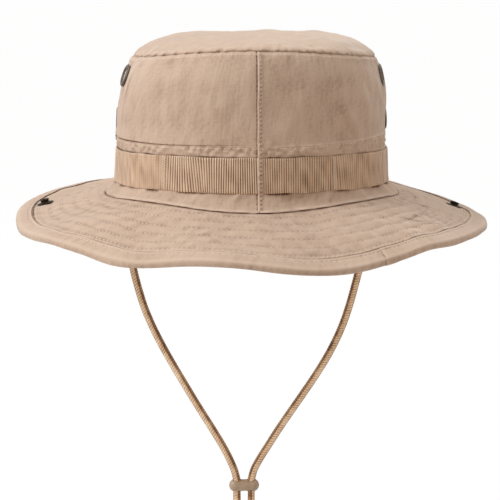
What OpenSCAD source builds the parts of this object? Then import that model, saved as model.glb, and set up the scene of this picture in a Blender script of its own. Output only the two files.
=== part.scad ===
// Boonie hat: soft crown, waved brim that turns up at the sides, webbing band, vents and chin cord.
// Millimetres. The origin is the middle of the head opening, level with the brim joint.
// +Z is up, the front of the hat looks along -Y, and +X is to the right of someone facing the hat.

/* [Crown] */
// Half-width of the crown across the head, at the webbing band
crown_half_w = 92; // [84:0.5:100]
// Half-length of the crown from front to back, at the webbing band
crown_half_l = 102; // [94:0.5:110]
// Height of the top seam at the two sides
seam_h_side = 92; // [86:1:98]
// Height of the top seam at the front and the back
seam_h_front = 99.5; // [92:0.5:104]
// Height of the highest point of the crown
crown_h = 107; // [103:1:117]
// How squarely the tip turns over at its edge
dome_power = 4.8; // [2.5:0.1:6]
// How far the wall leans in over its whole height
wall_taper = 4; // [1:0.5:8]
// How far the shoulder turns in below the top seam
shoulder_in = 7.5; // [4:0.5:12]
// How much further the shoulder turns in on the left, and less on the right
shoulder_shift = 2; // [0:0.25:3]
// Height of the shoulder's turn
shoulder_h = 40; // [20:1:44]
// How late the shoulder turns in
shoulder_power = 4; // [1.5:0.05:4.5]
// How far the wall flares out where it meets the brim
flare_out = 7; // [4:0.5:9]
// Height of that flare
flare_h = 12; // [8:1:16]
// Thickness of the crown cloth
crown_t = 1; // [0.6:0.1:1.6]

/* [Sweatband] */
// Height of the sweatband above the brim joint
sweatband_h = 40; // [25:1:42]
// Thickness of the sweatband
sweatband_t = 1.2; // [0.8:0.1:2]

/* [Webbing band] */
// Width of the webbing
band_w = 22; // [15:1:30]
// Thickness of the webbing
band_t = 0.9; // [0.6:0.1:2.2]
// Height of the webbing's lower edge at the front and the back
band_front_z = 11.5; // [6:0.5:14]
// Height of the webbing's lower edge at the two sides
band_side_z = 8.5; // [5:0.5:12]
// Number of sewn loops on each side of the hat
band_loops = 5; // [3:1:8]
// How far a loop stands off the crown at its middle
band_slack = 0.6; // [0:0.1:2.5]
// Angle of the first row of tacks from the front seam
band_turn = -4; // [-12:1:12]

/* [Brim] */
// Width of the brim from the joint to its cloth edge, measured level
brim_w = 59.5; // [50:0.5:75]
// How far the brim runs in under the crown wall, inside the band
brim_ledge = 3; // [2.8:0.1:6]
// How far the brim joint rises between the front, the sides and the back
joint_wave = 3.3; // [0:0.1:4]
// Thickness of the upper cloth
upper_t = 0.7; // [0.4:0.1:1.2]
// Thickness of the interlining
interlining_t = 0.9; // [0.5:0.1:1.5]
// Thickness of the under cloth
under_t = 0.7; // [0.4:0.1:1.2]
// Mean fall of the brim's edge below the joint
edge_fall = 14.8; // [8:0.1:26]
// How much more the edge falls at the front than at the side
front_fall = 4.3; // [0:0.1:8]
// How the slope grows towards the edge, 1 is a straight slope
fall_power = 1.1; // [1:0.05:1.5]
// Width of the binding tape on the brim
binding_w = 10; // [5:0.5:12]
// Thickness of the binding tape
binding_t = 0.7; // [0.4:0.1:1.2]
// Distance from the brim joint to the line where a brim side turns up
fold_margin = 3.5; // [2:0.5:8]

/* [Vents] */
// Outside diameter of a vent rim
vent_od = 15.5; // [13:0.5:18]
// Bore of a vent
vent_bore = 9.6; // [7:0.2:11]
// Height of the upper vents on the wall
vent_upper_z = 80; // [76:0.5:82]
// Angle of the upper vents from the front of the hat
vent_upper_angle = 76.5; // [74:0.5:88]
// Height of the lower vents on the wall
vent_lower_z = 50; // [44:0.5:52]
// Angle of the lower vents from the front of the hat
vent_lower_angle = 88; // [78:1:89]
// Height of a vent rim above the cloth
vent_rim_h = 1; // [0.8:0.1:2]
// Pitch of the wires in a vent screen
screen_pitch = 1.5; // [1:0.1:2.5]
// Width of a screen wire
screen_wire = 0.5; // [0.3:0.05:0.8]

/* [Snaps] */
// Diameter of a snap
snap_od = 12; // [10:0.5:14]
// Distance between a brim snap and the binding tape, measured level
snap_gap = 2; // [1:0.5:8]
// Angle of the snaps from the front of the hat
snap_angle = 94; // [93:1:100]
// Diameter of a snap stud
stud_d = 6.2; // [5:0.2:7]
// Height of a snap stud above its flange
stud_h = 2; // [1.6:0.1:3.6]
// Height of a snap socket
socket_h = 2.4; // [2:0.1:3.4]

/* [Chin cord] */
// Diameter of the cord
cord_d = 5; // [3:0.25:5.5]
// Length of the slider bead
slider_l = 21; // [19:0.5:26]
// Diameter of the slider bead
slider_d = 9; // [8:0.5:12]
// How much thinner the bead is at its waist
slider_waist = 0.8; // [0:0.1:1.6]

/* [Hidden] */
$fn = 48;

// Gap between sewn plies, and between a loose piece and what it goes through
ply_gap = 0.1;
clearance = 0.3;
// Columns round half the crown, and round the whole brim
crown_cols = 24;
brim_cols = 60;
// Waves of the brim's edge: angle from the front, extra fall, spread in degrees
brim_waves = [
    [15, 7.7, 18], [-31, 5.6, 12], [99, 4.2, 27], [-74, 2.9, 12], [138, -2.4, 8], [-134, -3.5, 40]
];
// Rows up the flare and up the rest of the wall, and rows in from the edge of the tip, as shares
flare_rows = [0, 0.25, 0.5, 0.75];
wall_rows = [0, 0.2, 0.4, 0.55, 0.66, 0.76, 0.84, 0.91, 0.96, 1];
tip_rows = [1, 0.97, 0.93, 0.88, 0.8, 0.7, 0.55, 0.3];
brim_rows = [0, 0.45, 1 - binding_w / brim_w, 1];
band_rows = [0, 0.25, 0.6, 1];

// Brim joint, head opening and whole reach of the brim
joint_half_w = crown_half_w + flare_out;
joint_half_l = crown_half_l + flare_out;
ledge_reach = flare_out + brim_ledge;
reach = 2 * (joint_half_l + brim_w);
brim_t = upper_t + interlining_t + under_t + 2 * ply_gap;

// Fold lines of the brim sides: they lie along Y, just above the upper cloth
fold_x = joint_half_w + fold_margin;
fold_gap = 0.3;
fold_angle = asin(fold_x / (joint_half_w + brim_w));
fold_z = brim_z(90, fold_margin / brim_w) + 2 * clearance;

// Vent and snap details, and the length of a drill that goes right through a wall
drill_l = 20;
barrel_t = 0.6;
vent_hole_d = vent_bore + 2 * barrel_t + 2 * ply_gap;
washer_t = 0.9;
washer_d = vent_od - 2;
washer_drop = 1.5 * crown_t;
post_d = 3.4;
post_hole_d = post_d + 2 * ply_gap;
snap_flange_t = 0.9;
snap_from_joint = brim_w - binding_w - snap_gap - snap_od / 2;
snap_cap_t = 1.3;

// Cord routes, top to bottom: chosen points in millimetres
cord_left_route = [
    [-85.4, 0, 11], [-85.4, 0, 4], [-85.4, 0, -4], [-85.3, 0, -12], [-84.8, 0, -22], [-83.9, 0, -32],
    [-82.2, 0, -44], [-79.9, 0, -56], [-76.6, 0, -69], [-72.9, 0, -81], [-67.8, 0, -93.5],
    [-62, 0, -105.5], [-55.6, 0, -117.5], [-48.8, 0, -129.5], [-41.6, 0, -142], [-34.2, 0, -154.5],
    [-26.9, 0, -166.5], [-20.2, 0, -178], [-15.6, 0, -187], [-12.2, 0, -195], [-10.6, 0, -200.5],
    [-10.1, 0, -203.5], [-10, 0, -206.9]
];
cord_right_route = [
    [85.4, 0, 11], [85.4, 0, 4], [85.1, 0, -4], [84.2, 0, -12], [82.4, 0, -22], [80.2, 0, -32],
    [77.2, 0, -44], [73.8, 0, -56], [70.5, 0, -69], [67.2, 0, -81], [63, 0, -93.5], [57.8, 0, -105.5],
    [51.5, 0, -117.5], [44.2, 0, -129.5], [35.9, 0, -142], [27.4, 0, -154.5], [19.4, 0, -166.5],
    [12.2, 0, -178], [6.6, 0, -187], [2.3, 0, -195], [0.6, 0, -200.5], [0.1, 0, -203.5], [0, 0, -206.9]
];
tail_left_route = [
    [-10, 0, -207.1], [-10, 0, -213], [-9.9, 0, -223], [-9.5, 0, -235], [-8.9, 0, -247],
    [-8.2, 0, -259], [-7.8, 0, -270]
];
tail_right_route = [
    [0, 0, -207.1], [0, 0, -213], [-0.1, 0, -223], [-0.5, 0, -235], [-1.1, 0, -247],
    [-1.8, 0, -259], [-2.2, 0, -270]
];
cord_sides = 10;

// Slider and knot sit on the cord
slider_z = -207;
slider_bore_xs = [-10, 0];
slider_x = (slider_bore_xs[0] + slider_bore_xs[1]) / 2;
knot_wraps = 3;
knot_wrap_r = cord_d + ply_gap;
knot_pitch = 0.86 * cord_d;
knot_end_l = 9;
knot_top_z = tail_left_route[len(tail_left_route) - 1][2];
knot_x = (tail_left_route[len(tail_left_route) - 1][0] + tail_right_route[len(tail_right_route) - 1][0]) / 2;

// Colours
cloth_color = "Tan";
lining_color = "BurlyWood";
webbing_color = "RosyBrown";
metal_color = "DarkSlateGray";
rim_color = "SaddleBrown";
screen_color = "Silver";
cord_color = "Peru";
bead_color = "DimGray";

// Heights of the top seam and of the brim joint at an angle
function seam_h(phi) = seam_h_side + (seam_h_front - seam_h_side) * pow(cos(phi), 2);
function joint_z(phi) = joint_wave * pow(sin(2 * phi), 2);
// How far the wall stands in from the band's outline, at an angle and a height
function flare(phi, z) = flare_out * pow(max(0, (flare_h - z) / (flare_h - joint_z(phi))), 2);
function shoulder_at(phi) = shoulder_in - shoulder_shift * sin(phi);
function shoulder(phi, z) =
    shoulder_at(phi) * pow(max(0, (z - seam_h(phi) + shoulder_h) / shoulder_h), shoulder_power);
function wall_inset(phi, z) = wall_taper * z / seam_h(phi) + shoulder(phi, z) - flare(phi, z);

// A point at an angle from the front on an oval that stands in from the band's outline
function oval(phi, inset, z) = [(crown_half_w - inset) * sin(phi), -(crown_half_l - inset) * cos(phi), z];
function wall_point(phi, z) = oval(phi, wall_inset(phi, z), z);

// Brim surface: share runs from 0 at the joint to 1 at the cloth edge, and below 0 on the ledge
function angle_between(a, b) = let (d = abs(a - b) % 360) min(d, 360 - d);
function wave(phi) = [for (w = brim_waves) w[1] * exp(-pow(angle_between(phi, w[0]) / w[2], 2))];
function total(list, i = 0) = i < len(list) ? list[i] + total(list, i + 1) : 0;
function fall_at(phi) = edge_fall + front_fall * cos(phi) + total(wave(phi));
function brim_z(phi, share) =
    let (out = max(0, share))
    joint_z(phi) * (1 - out) - fall_at(phi) * pow(out, fall_power);
function brim_point(phi, share, dz = 0) = oval(phi, -flare_out - share * brim_w, brim_z(phi, share) + dz);

// Outward normals, from small steps along the surface
function unit(v) = v / norm(v);
function wall_normal(phi, z) =
    unit(cross(wall_point(phi + 0.5, z) - wall_point(phi - 0.5, z),
               wall_point(phi, z + 0.5) - wall_point(phi, z - 0.5)));
function brim_normal(phi, share) =
    unit(cross(brim_point(phi, share + 0.01) - brim_point(phi, share - 0.01),
               brim_point(phi + 0.5, share) - brim_point(phi - 0.5, share)));

// Angles of the columns on one half of the crown; side is 1 on the right and -1 on the left
function half_angles(side, gap) =
    let (edge = gap / crown_half_w * 180 / PI)
    [for (i = [0 : crown_cols]) side * (edge + (180 - 2 * edge) * i / crown_cols)];
function ring_angles(n) = [for (i = [0 : n - 1]) 360 * i / n];
// Angles of the brim's columns that cover an arc with room to spare
function arc_angles(from, to) =
    let (step = 360 / brim_cols)
    [for (i = [floor(from / step - 0.5) : ceil(to / step + 0.5)]) i * step];
function side_angles(side) =
    let (turn = 90 - fold_angle)
    arc_angles(side * 90 - turn, side * 90 + turn);

// Closed solid between two grids of points with the same rows and columns
function flat_list(rows) = [for (r = rows) for (p = r) p];
function quad(a, b, c, d) = [[a, b, c], [a, c, d]];
module sheet(outer, inner, closed = false) {
    rows = len(outer);
    cols = len(outer[0]);
    shift = rows * cols;
    last = closed ? cols - 1 : cols - 2;
    skins = [for (r = [0 : rows - 2]) for (c = [0 : last])
        let (n = (c + 1) % cols, a = r * cols + c, b = r * cols + n, d = a + cols, e = b + cols)
        each concat(quad(a, d, e, b), quad(a + shift, b + shift, e + shift, d + shift))];
    rims = [for (c = [0 : last])
        let (n = (c + 1) % cols, top = (rows - 1) * cols)
        each concat(quad(c, n, n + shift, c + shift), quad(top + n, top + c, top + c + shift, top + n + shift))];
    ends = closed ? [] : [for (r = [0 : rows - 2])
        let (a = r * cols, d = a + cols, b = a + cols - 1, e = b + cols)
        each concat(quad(d, a, a + shift, d + shift), quad(b, e, e + shift, b + shift))];
    polyhedron(concat(flat_list(outer), flat_list(inner)), concat(skins, rims, ends), convexity = 8);
}

// Solid of one section swept along an arc: sections is a list of rings of points, lid its triangles
module run_of_sections(sections, lid) {
    n = len(sections);
    k = len(sections[0]);
    last = (n - 1) * k;
    walls = [for (i = [0 : n - 2]) for (j = [0 : k - 1])
        let (j2 = (j + 1) % k)
        each quad(i * k + j, i * k + j2, i * k + k + j2, i * k + k + j)];
    lids = [for (t = lid) each [[t[2], t[1], t[0]], [last + t[0], last + t[1], last + t[2]]]];
    polyhedron(flat_list(sections), concat(walls, lids), convexity = 8);
}

// Round tube along a route that lies in the plane of X and Z
function route_way(route, i) =
    unit(route[min(i + 1, len(route) - 1)] - route[max(i - 1, 0)]);
module tube(route, d) {
    n = len(route);
    rings = [for (i = [0 : n - 1]) let (side = cross(route_way(route, i), [0, 1, 0]))
        for (k = [0 : cord_sides - 1])
            route[i] + d / 2 * (cos(360 * k / cord_sides) * [0, 1, 0] + sin(360 * k / cord_sides) * side)];
    walls = [for (i = [0 : n - 2]) for (k = [0 : cord_sides - 1])
        let (k2 = (k + 1) % cord_sides, a = i * cord_sides)
        each quad(a + k, a + cord_sides + k, a + cord_sides + k2, a + k2)];
    lids = [[for (k = [0 : cord_sides - 1]) k], [for (k = [0 : cord_sides - 1]) n * cord_sides - 1 - k]];
    polyhedron(rings, concat(walls, lids), convexity = 4);
}

// Put a piece on a surface point with its own +Z along the normal
module seat(point, normal) {
    translate(point) rotate([0, acos(normal[2]), atan2(normal[1], normal[0])]) children();
}
module on_wall(phi, z) {
    seat(wall_point(phi, z), wall_normal(phi, z)) children();
}
module on_brim(phi) {
    share = snap_from_joint / brim_w;
    seat(brim_point(phi, share), brim_normal(phi, share)) children();
}

// Place on the wall where the turned-up brim brings its snap
snap_point = brim_point(snap_angle, snap_from_joint / brim_w);
snap_reach = norm([snap_point[0] - fold_x, snap_point[2] - fold_z]);
crown_snap_z = fold_z + snap_reach;
crown_snap_angle = 90 + asin(snap_point[1] / (crown_half_l - wall_inset(90, crown_snap_z)));

// Crown

function tip_z(phi, share) =
    let (edge = seam_h(phi) + ply_gap + crown_t)
    crown_h - (crown_h - edge) * pow(share, dome_power);
function tip_point(phi, share, dz) =
    let (p = oval(phi, wall_taper + shoulder_at(phi), 0))
    [p[0] * share, p[1] * share, tip_z(phi, share) + dz];
module crown_tip() {
    angles = ring_angles(2 * crown_cols);
    n = len(angles);
    rows = len(tip_rows);
    half = rows * n + 1;
    pole = rows * n;
    skins = [for (r = [0 : rows - 2]) for (c = [0 : n - 1])
        let (c2 = (c + 1) % n, a = r * n + c, b = r * n + c2)
        each concat(quad(a, a + n, b + n, b), quad(a + half, b + half, b + n + half, a + n + half))];
    poles = [for (c = [0 : n - 1])
        let (c2 = (c + 1) % n, a = (rows - 1) * n)
        each [[a + c, pole, a + c2], [a + c + half, a + c2 + half, pole + half]]];
    rim = [for (c = [0 : n - 1]) let (c2 = (c + 1) % n) each quad(c, c2, c2 + half, c + half)];
    points = [for (dz = [0, -crown_t]) each concat(
        [for (s = tip_rows) for (phi = angles) tip_point(phi, s, dz)], [[0, 0, crown_h + dz]])];
    color(cloth_color) polyhedron(points, concat(skins, poles, rim), convexity = 4);
}

// Heights of the rows up the wall at one angle, from the brim to the top seam
function wall_heights(phi) = concat(
    [for (s = flare_rows) (1 - s) * (joint_z(phi) + ply_gap) + s * flare_h],
    [for (s = wall_rows) flare_h + s * (seam_h(phi) - flare_h)]);
function wall_grid(angles, depth) = [for (r = [0 : len(flare_rows) + len(wall_rows) - 1])
    [for (phi = angles) let (z = wall_heights(phi)[r]) oval(phi, wall_inset(phi, z) + depth, z)]];
module crown_side(side) {
    angles = half_angles(side, ply_gap);
    outer = wall_grid(angles, 0);
    inner = wall_grid(angles, crown_t);
    color(cloth_color) difference() {
        if (side > 0) sheet(inner, outer);
        else sheet(outer, inner);
        on_wall(side * vent_upper_angle, vent_upper_z) drill(vent_hole_d);
        on_wall(side * vent_lower_angle, vent_lower_z) drill(vent_hole_d);
        on_wall(side * crown_snap_angle, crown_snap_z) drill(post_hole_d);
    }
}
module drill(d) {
    cylinder(h = drill_l, d = d, center = true);
}

// Point on the sweatband, which hangs straight below the flare
function band_inside(phi, z, depth) =
    oval(phi, wall_inset(phi, max(z, flare_h)) + crown_t + 2 * ply_gap + depth, z);
// The sweatband is notched round the caps of the crown snaps, and round a vent's washer that comes down to it
module sweatband() {
    angles = ring_angles(2 * crown_cols);
    shares = [0, 0.5, 1];
    low = function (phi) joint_z(phi) + ply_gap;
    foot = function (depth) [for (phi = angles) band_inside(phi, low(phi), depth)];
    grid = function (depth) concat([foot(depth)], [for (s = shares)
        [for (phi = angles) band_inside(phi, flare_h + s * (sweatband_h - flare_h), depth)]]);
    color(lining_color) difference() {
        sheet(grid(sweatband_t), grid(0), closed = true);
        for (side = [-1, 1]) {
            on_wall(side * crown_snap_angle, crown_snap_z) drill(snap_od + 2 * clearance);
            on_wall(side * vent_lower_angle, vent_lower_z) drill(washer_d + 2 * clearance);
        }
    }
}

// Webbing band: it follows the wall, stands off between the sewn tacks, and is cut away round a crown
// snap that comes down to it
function band_z(phi, share) =
    band_side_z + (band_front_z - band_side_z) * (1 - pow(sin(phi), 4)) + share * band_w;
function band_stand(phi) = clearance + band_slack * pow(sin((phi - band_turn) * band_loops), 2);
function band_grid(angles, depth) = [for (s = band_rows)
    [for (phi = angles) let (z = band_z(phi, s)) oval(phi, wall_inset(phi, z) - band_stand(phi) - depth, z)]];
module webbing_band(side) {
    angles = half_angles(side, clearance);
    outer = band_grid(angles, band_t);
    inner = band_grid(angles, 0);
    color(webbing_color) difference() {
        if (side > 0) sheet(inner, outer);
        else sheet(outer, inner);
        on_wall(side * crown_snap_angle, crown_snap_z) drill(snap_od + 2 * clearance);
    }
}

// Brim

// Zone beyond the fold line on one side; grow moves its inner face out
module fold_zone(side, grow) {
    x = fold_x + grow;
    translate([side > 0 ? x : -x - reach, -reach, -reach]) cube([reach, 2 * reach, 2 * reach]);
}
// Part of a whole-brim piece: 0 keeps the front, back and joint, 1 and -1 keep a side that turns up
module brim_part(side) {
    if (side == 0) difference() {
        children();
        fold_zone(1, -fold_gap / 2);
        fold_zone(-1, -fold_gap / 2);
    }
    else intersection() {
        children();
        fold_zone(side, fold_gap / 2);
    }
}
// One ply: a whole ring with its ledge for the middle, an arc for a side that turns up
function ply_grid(angles, shares, z) = [for (s = shares) [for (phi = angles) brim_point(phi, s, z)]];
module ply(top, thickness, side) {
    angles = side == 0 ? ring_angles(brim_cols) : side_angles(side);
    shares = side == 0 ? concat([-ledge_reach / brim_w], brim_rows) : brim_rows;
    brim_part(side) difference() {
        sheet(ply_grid(angles, shares, -top), ply_grid(angles, shares, -top - thickness), closed = side == 0);
        if (side != 0) on_brim(side * snap_angle) drill(post_hole_d);
    }
}
module brim_upper_part(side) {
    color(cloth_color) ply(0, upper_t, side);
}
module brim_interlining_part(side) {
    color(lining_color) ply(upper_t + ply_gap, interlining_t, side);
}
module brim_under_part(side) {
    color(cloth_color) ply(upper_t + interlining_t + 2 * ply_gap, under_t, side);
}

// Binding tape folded round the edge: each pair is distance in from the cloth edge, and height
binding_section = [
    [binding_w, ply_gap + binding_t], [0, ply_gap + binding_t],
    [-ply_gap - binding_t, 0], [-ply_gap - binding_t, -brim_t],
    [0, -brim_t - ply_gap - binding_t], [binding_w, -brim_t - ply_gap - binding_t],
    [binding_w, -brim_t - ply_gap], [-ply_gap, -brim_t - ply_gap],
    [-ply_gap, ply_gap], [binding_w, ply_gap]
];
binding_lid = [[0, 1, 8], [0, 8, 9], [1, 2, 8], [2, 7, 8], [2, 3, 7], [3, 4, 7], [4, 6, 7], [4, 5, 6]];
module binding_run(angles) {
    run_of_sections(
        [for (phi = angles) [for (p = binding_section) brim_point(phi, 1 - p[0] / brim_w, p[1])]],
        binding_lid);
}
module edge_binding_part(side) {
    color(webbing_color) brim_part(side) {
        if (side == 0) for (middle = [0, 180])
            binding_run(arc_angles(middle - fold_angle, middle + fold_angle));
        else binding_run(side_angles(side));
    }
}

// Vents: a rim with a barrel through the cloth, a wire screen in its bore, and a washer clinched behind

module vent_rim(phi, z) {
    r_in = vent_bore / 2;
    r_out = vent_od / 2;
    color(rim_color) on_wall(phi, z) rotate_extrude() {
        translate([r_in, -crown_t - washer_drop - washer_t])
            square([barrel_t, crown_t + washer_drop + washer_t + ply_gap]);
        intersection() {
            translate([r_in, ply_gap]) square([r_out - r_in, vent_rim_h]);
            translate([(r_in + r_out) / 2, ply_gap]) rim_dome((r_out - r_in) / 2, vent_rim_h);
        }
    }
}
// Low arched section of a rim: half-width and height
module rim_dome(half, h) {
    r = (half * half + h * h) / (2 * h);
    translate([0, h - r]) circle(r = r);
}
module vent_screen(phi, z) {
    r = vent_bore / 2 - ply_gap / 2;
    hole = screen_pitch - screen_wire;
    n = ceil(r / screen_pitch);
    color(screen_color) on_wall(phi, z) translate([0, 0, -crown_t / 2]) linear_extrude(height = screen_wire)
        difference() {
            circle(r = r);
            for (i = [-n : n]) for (j = [-n : n])
                if (screen_pitch * norm([abs(i) + 0.5, abs(j) + 0.5]) < r - screen_wire)
                    translate([i * screen_pitch, j * screen_pitch]) square(hole, center = true);
        }
}
module vent_washer(phi, z) {
    color(rim_color) on_wall(phi, z) translate([0, 0, -crown_t - washer_drop - washer_t + ply_gap])
        difference() {
            cylinder(h = washer_t - ply_gap, d = washer_d);
            translate([0, 0, -1]) cylinder(h = washer_t + 2, d = vent_hole_d);
        }
}

// Snaps: each half is clinched on a capped post that goes through the cloth

module snap_stud() {
    bead_h = stud_h / 2;
    color(metal_color) rotate_extrude() {
        translate([post_hole_d / 2, ply_gap]) square([(snap_od - post_hole_d) / 2, snap_flange_t]);
        translate([post_hole_d / 2, snap_flange_t])
            square([stud_d / 2 - post_hole_d / 2 - clearance, stud_h + ply_gap]);
        translate([post_hole_d / 2, snap_flange_t + ply_gap + stud_h - bead_h])
            square([(stud_d - post_hole_d) / 2, bead_h]);
    }
}
module snap_socket() {
    mouth_d = stud_d + 2 * clearance;
    color(metal_color) difference() {
        translate([0, 0, ply_gap]) rotate_extrude() {
            square([snap_od / 2, socket_h / 2]);
            square([snap_od / 2 - clearance, socket_h]);
        }
        translate([0, 0, snap_flange_t]) cylinder(h = socket_h, d = mouth_d);
        drill(post_hole_d);
    }
}
// Cap and post below a cloth of the given thickness; the post ends inside the half above it
module snap_cap(cloth_t, post_h) {
    color(metal_color) rotate_extrude() {
        translate([0, -cloth_t - snap_cap_t]) square([snap_od / 2 - clearance, snap_cap_t]);
        translate([0, -cloth_t - snap_cap_t / 2]) square([snap_od / 2, snap_cap_t / 2]);
        translate([0, -cloth_t - ply_gap]) square([post_d / 2, cloth_t + ply_gap + post_h]);
    }
}
crown_cap_drop = crown_t + washer_drop;
brim_cap_drop = brim_t + ply_gap + clearance;
module brim_snap_stud(side) {
    on_brim(side * snap_angle) snap_stud();
}
module brim_snap_cap(side) {
    on_brim(side * snap_angle) snap_cap(brim_cap_drop, snap_flange_t + stud_h / 2);
}
module crown_snap_socket(side) {
    on_wall(side * crown_snap_angle, crown_snap_z) snap_socket();
}
module crown_snap_cap(side) {
    on_wall(side * crown_snap_angle, crown_snap_z) snap_cap(crown_cap_drop, snap_flange_t);
}

// Chin cord

// Tape sewn to the sweatband, folded over the end of the cord
tab_h = 14;
tab_half_w = 6;
tab_t = 0.9;
tab_wall_x = crown_half_w - wall_inset(90, flare_h) - crown_t - 2 * ply_gap - sweatband_t - 2 * clearance;
module cord_tab(side) {
    top = cord_right_route[0];
    sleeve_d = cord_d + 2 * ply_gap;
    color(webbing_color) mirror([side < 0 ? 1 : 0, 0, 0]) translate([0, 0, top[2] + ply_gap + tab_t - tab_h])
        difference() {
            linear_extrude(height = tab_h) intersection() {
                union() {
                    translate([top[0], 0]) circle(d = sleeve_d + 2 * tab_t);
                    translate([top[0], -sleeve_d / 2]) square([tab_wall_x - top[0], sleeve_d]);
                    translate([tab_wall_x - tab_t, -tab_half_w]) square([tab_t, 2 * tab_half_w]);
                }
                translate([0, -tab_half_w]) square([tab_wall_x, 2 * tab_half_w]);
            }
            translate([top[0], 0, -tab_t]) cylinder(h = tab_h, d = sleeve_d);
        }
}
module cord_stretch(route) {
    color(cord_color) tube(route, cord_d);
}
module cord_slider() {
    half = slider_l / 2;
    end_r = slider_d / 2;
    bore_d = cord_d + 2 * clearance;
    color(bead_color) difference() {
        translate([slider_x, 0, slider_z]) rotate([0, 90, 0]) rotate_extrude() {
            difference() {
                union() {
                    translate([0, end_r - half]) intersection() {
                        circle(r = end_r);
                        translate([0, -end_r]) square([end_r, 2 * end_r]);
                    }
                    translate([0, half - end_r]) intersection() {
                        circle(r = end_r);
                        translate([0, -end_r]) square([end_r, 2 * end_r]);
                    }
                    translate([0, end_r - half]) square([end_r, slider_l - slider_d]);
                }
                waist_r = (pow(half - end_r, 2) + pow(slider_waist / 2, 2)) / slider_waist;
                translate([end_r - slider_waist / 2 + waist_r, 0]) circle(r = waist_r);
            }
        }
        for (x = slider_bore_xs) translate([x, 0, slider_z]) {
            drill(bore_d);
            for (up = [0, 1]) mirror([0, 0, up]) translate([0, 0, end_r - 1])
                cylinder(h = 2, d1 = bore_d, d2 = bore_d + 3);
        }
    }
}
module cord_knot() {
    color(cord_color) translate([knot_x, 0, knot_top_z - ply_gap]) {
        for (i = [0 : knot_wraps - 1]) translate([0, 0, -cord_d / 2 - i * knot_pitch])
            rotate_extrude() translate([knot_wrap_r - cord_d / 4, 0]) circle(d = cord_d);
        translate([0, 0, -knot_wraps * knot_pitch])
            cylinder(h = knot_wraps * knot_pitch - ply_gap, r = knot_wrap_r - cord_d / 4);
        for (s = [-1, 1]) translate([s * cord_d * 0.55, 0, -knot_wraps * knot_pitch - knot_end_l]) {
            cylinder(h = knot_end_l, d = cord_d);
            sphere(d = cord_d);
        }
    }
}

crown_tip();
crown_side(-1);  // crown_side_left
crown_side(1);  // crown_side_right
sweatband();
webbing_band(-1);  // webbing_band_left
webbing_band(1);  // webbing_band_right
brim_upper_part(0);  // brim_upper
brim_upper_part(-1);  // brim_upper_left
brim_upper_part(1);  // brim_upper_right
brim_interlining_part(0);  // brim_interlining
brim_interlining_part(-1);  // brim_interlining_left
brim_interlining_part(1);  // brim_interlining_right
brim_under_part(0);  // brim_under
brim_under_part(-1);  // brim_under_left
brim_under_part(1);  // brim_under_right
edge_binding_part(0);  // edge_binding
edge_binding_part(-1);  // edge_binding_left
edge_binding_part(1);  // edge_binding_right
vent_rim(-vent_upper_angle, vent_upper_z);  // vent_rim_upper_left
vent_rim(vent_upper_angle, vent_upper_z);  // vent_rim_upper_right
vent_rim(-vent_lower_angle, vent_lower_z);  // vent_rim_lower_left
vent_rim(vent_lower_angle, vent_lower_z);  // vent_rim_lower_right
vent_screen(-vent_upper_angle, vent_upper_z);  // vent_screen_upper_left
vent_screen(vent_upper_angle, vent_upper_z);  // vent_screen_upper_right
vent_screen(-vent_lower_angle, vent_lower_z);  // vent_screen_lower_left
vent_screen(vent_lower_angle, vent_lower_z);  // vent_screen_lower_right
vent_washer(-vent_upper_angle, vent_upper_z);  // vent_washer_upper_left
vent_washer(vent_upper_angle, vent_upper_z);  // vent_washer_upper_right
vent_washer(-vent_lower_angle, vent_lower_z);  // vent_washer_lower_left
vent_washer(vent_lower_angle, vent_lower_z);  // vent_washer_lower_right
brim_snap_stud(-1);  // brim_snap_stud_left
brim_snap_stud(1);  // brim_snap_stud_right
brim_snap_cap(-1);  // brim_snap_cap_left
brim_snap_cap(1);  // brim_snap_cap_right
crown_snap_socket(-1);  // crown_snap_socket_left
crown_snap_socket(1);  // crown_snap_socket_right
crown_snap_cap(-1);  // crown_snap_cap_left
crown_snap_cap(1);  // crown_snap_cap_right
cord_tab(-1);  // cord_tab_left
cord_tab(1);  // cord_tab_right
cord_stretch(cord_left_route);  // cord_left
cord_stretch(cord_right_route);  // cord_right
cord_stretch(tail_left_route);  // cord_tail_left
cord_stretch(tail_right_route);  // cord_tail_right
cord_knot();
cord_slider();
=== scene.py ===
"""Looks of a khaki boonie hat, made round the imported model. Metres, in the model's own frame."""
import math

import bmesh
import bpy
import numpy as np
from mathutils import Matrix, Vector
from numpy import arange, array, clip, concatenate, cos, exp, hypot, linspace, maximum, minimum, sin, pi
from numpy.linalg import norm


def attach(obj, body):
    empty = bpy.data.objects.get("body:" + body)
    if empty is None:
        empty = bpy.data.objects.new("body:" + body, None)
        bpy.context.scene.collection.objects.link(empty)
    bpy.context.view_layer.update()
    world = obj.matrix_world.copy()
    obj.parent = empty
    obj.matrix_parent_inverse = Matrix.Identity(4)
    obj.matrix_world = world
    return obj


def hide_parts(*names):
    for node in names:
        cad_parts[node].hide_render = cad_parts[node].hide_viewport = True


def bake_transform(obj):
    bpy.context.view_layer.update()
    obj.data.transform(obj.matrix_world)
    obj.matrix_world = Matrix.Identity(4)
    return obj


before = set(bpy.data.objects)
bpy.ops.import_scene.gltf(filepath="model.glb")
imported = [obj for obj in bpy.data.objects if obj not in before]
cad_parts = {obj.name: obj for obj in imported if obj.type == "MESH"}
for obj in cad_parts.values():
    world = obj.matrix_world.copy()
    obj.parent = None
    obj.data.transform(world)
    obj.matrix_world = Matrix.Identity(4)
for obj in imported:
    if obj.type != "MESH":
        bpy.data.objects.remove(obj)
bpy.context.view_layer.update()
SIDES = {"left": -1, "right": 1}
DEG = pi / 180
MM = 0.001

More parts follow.
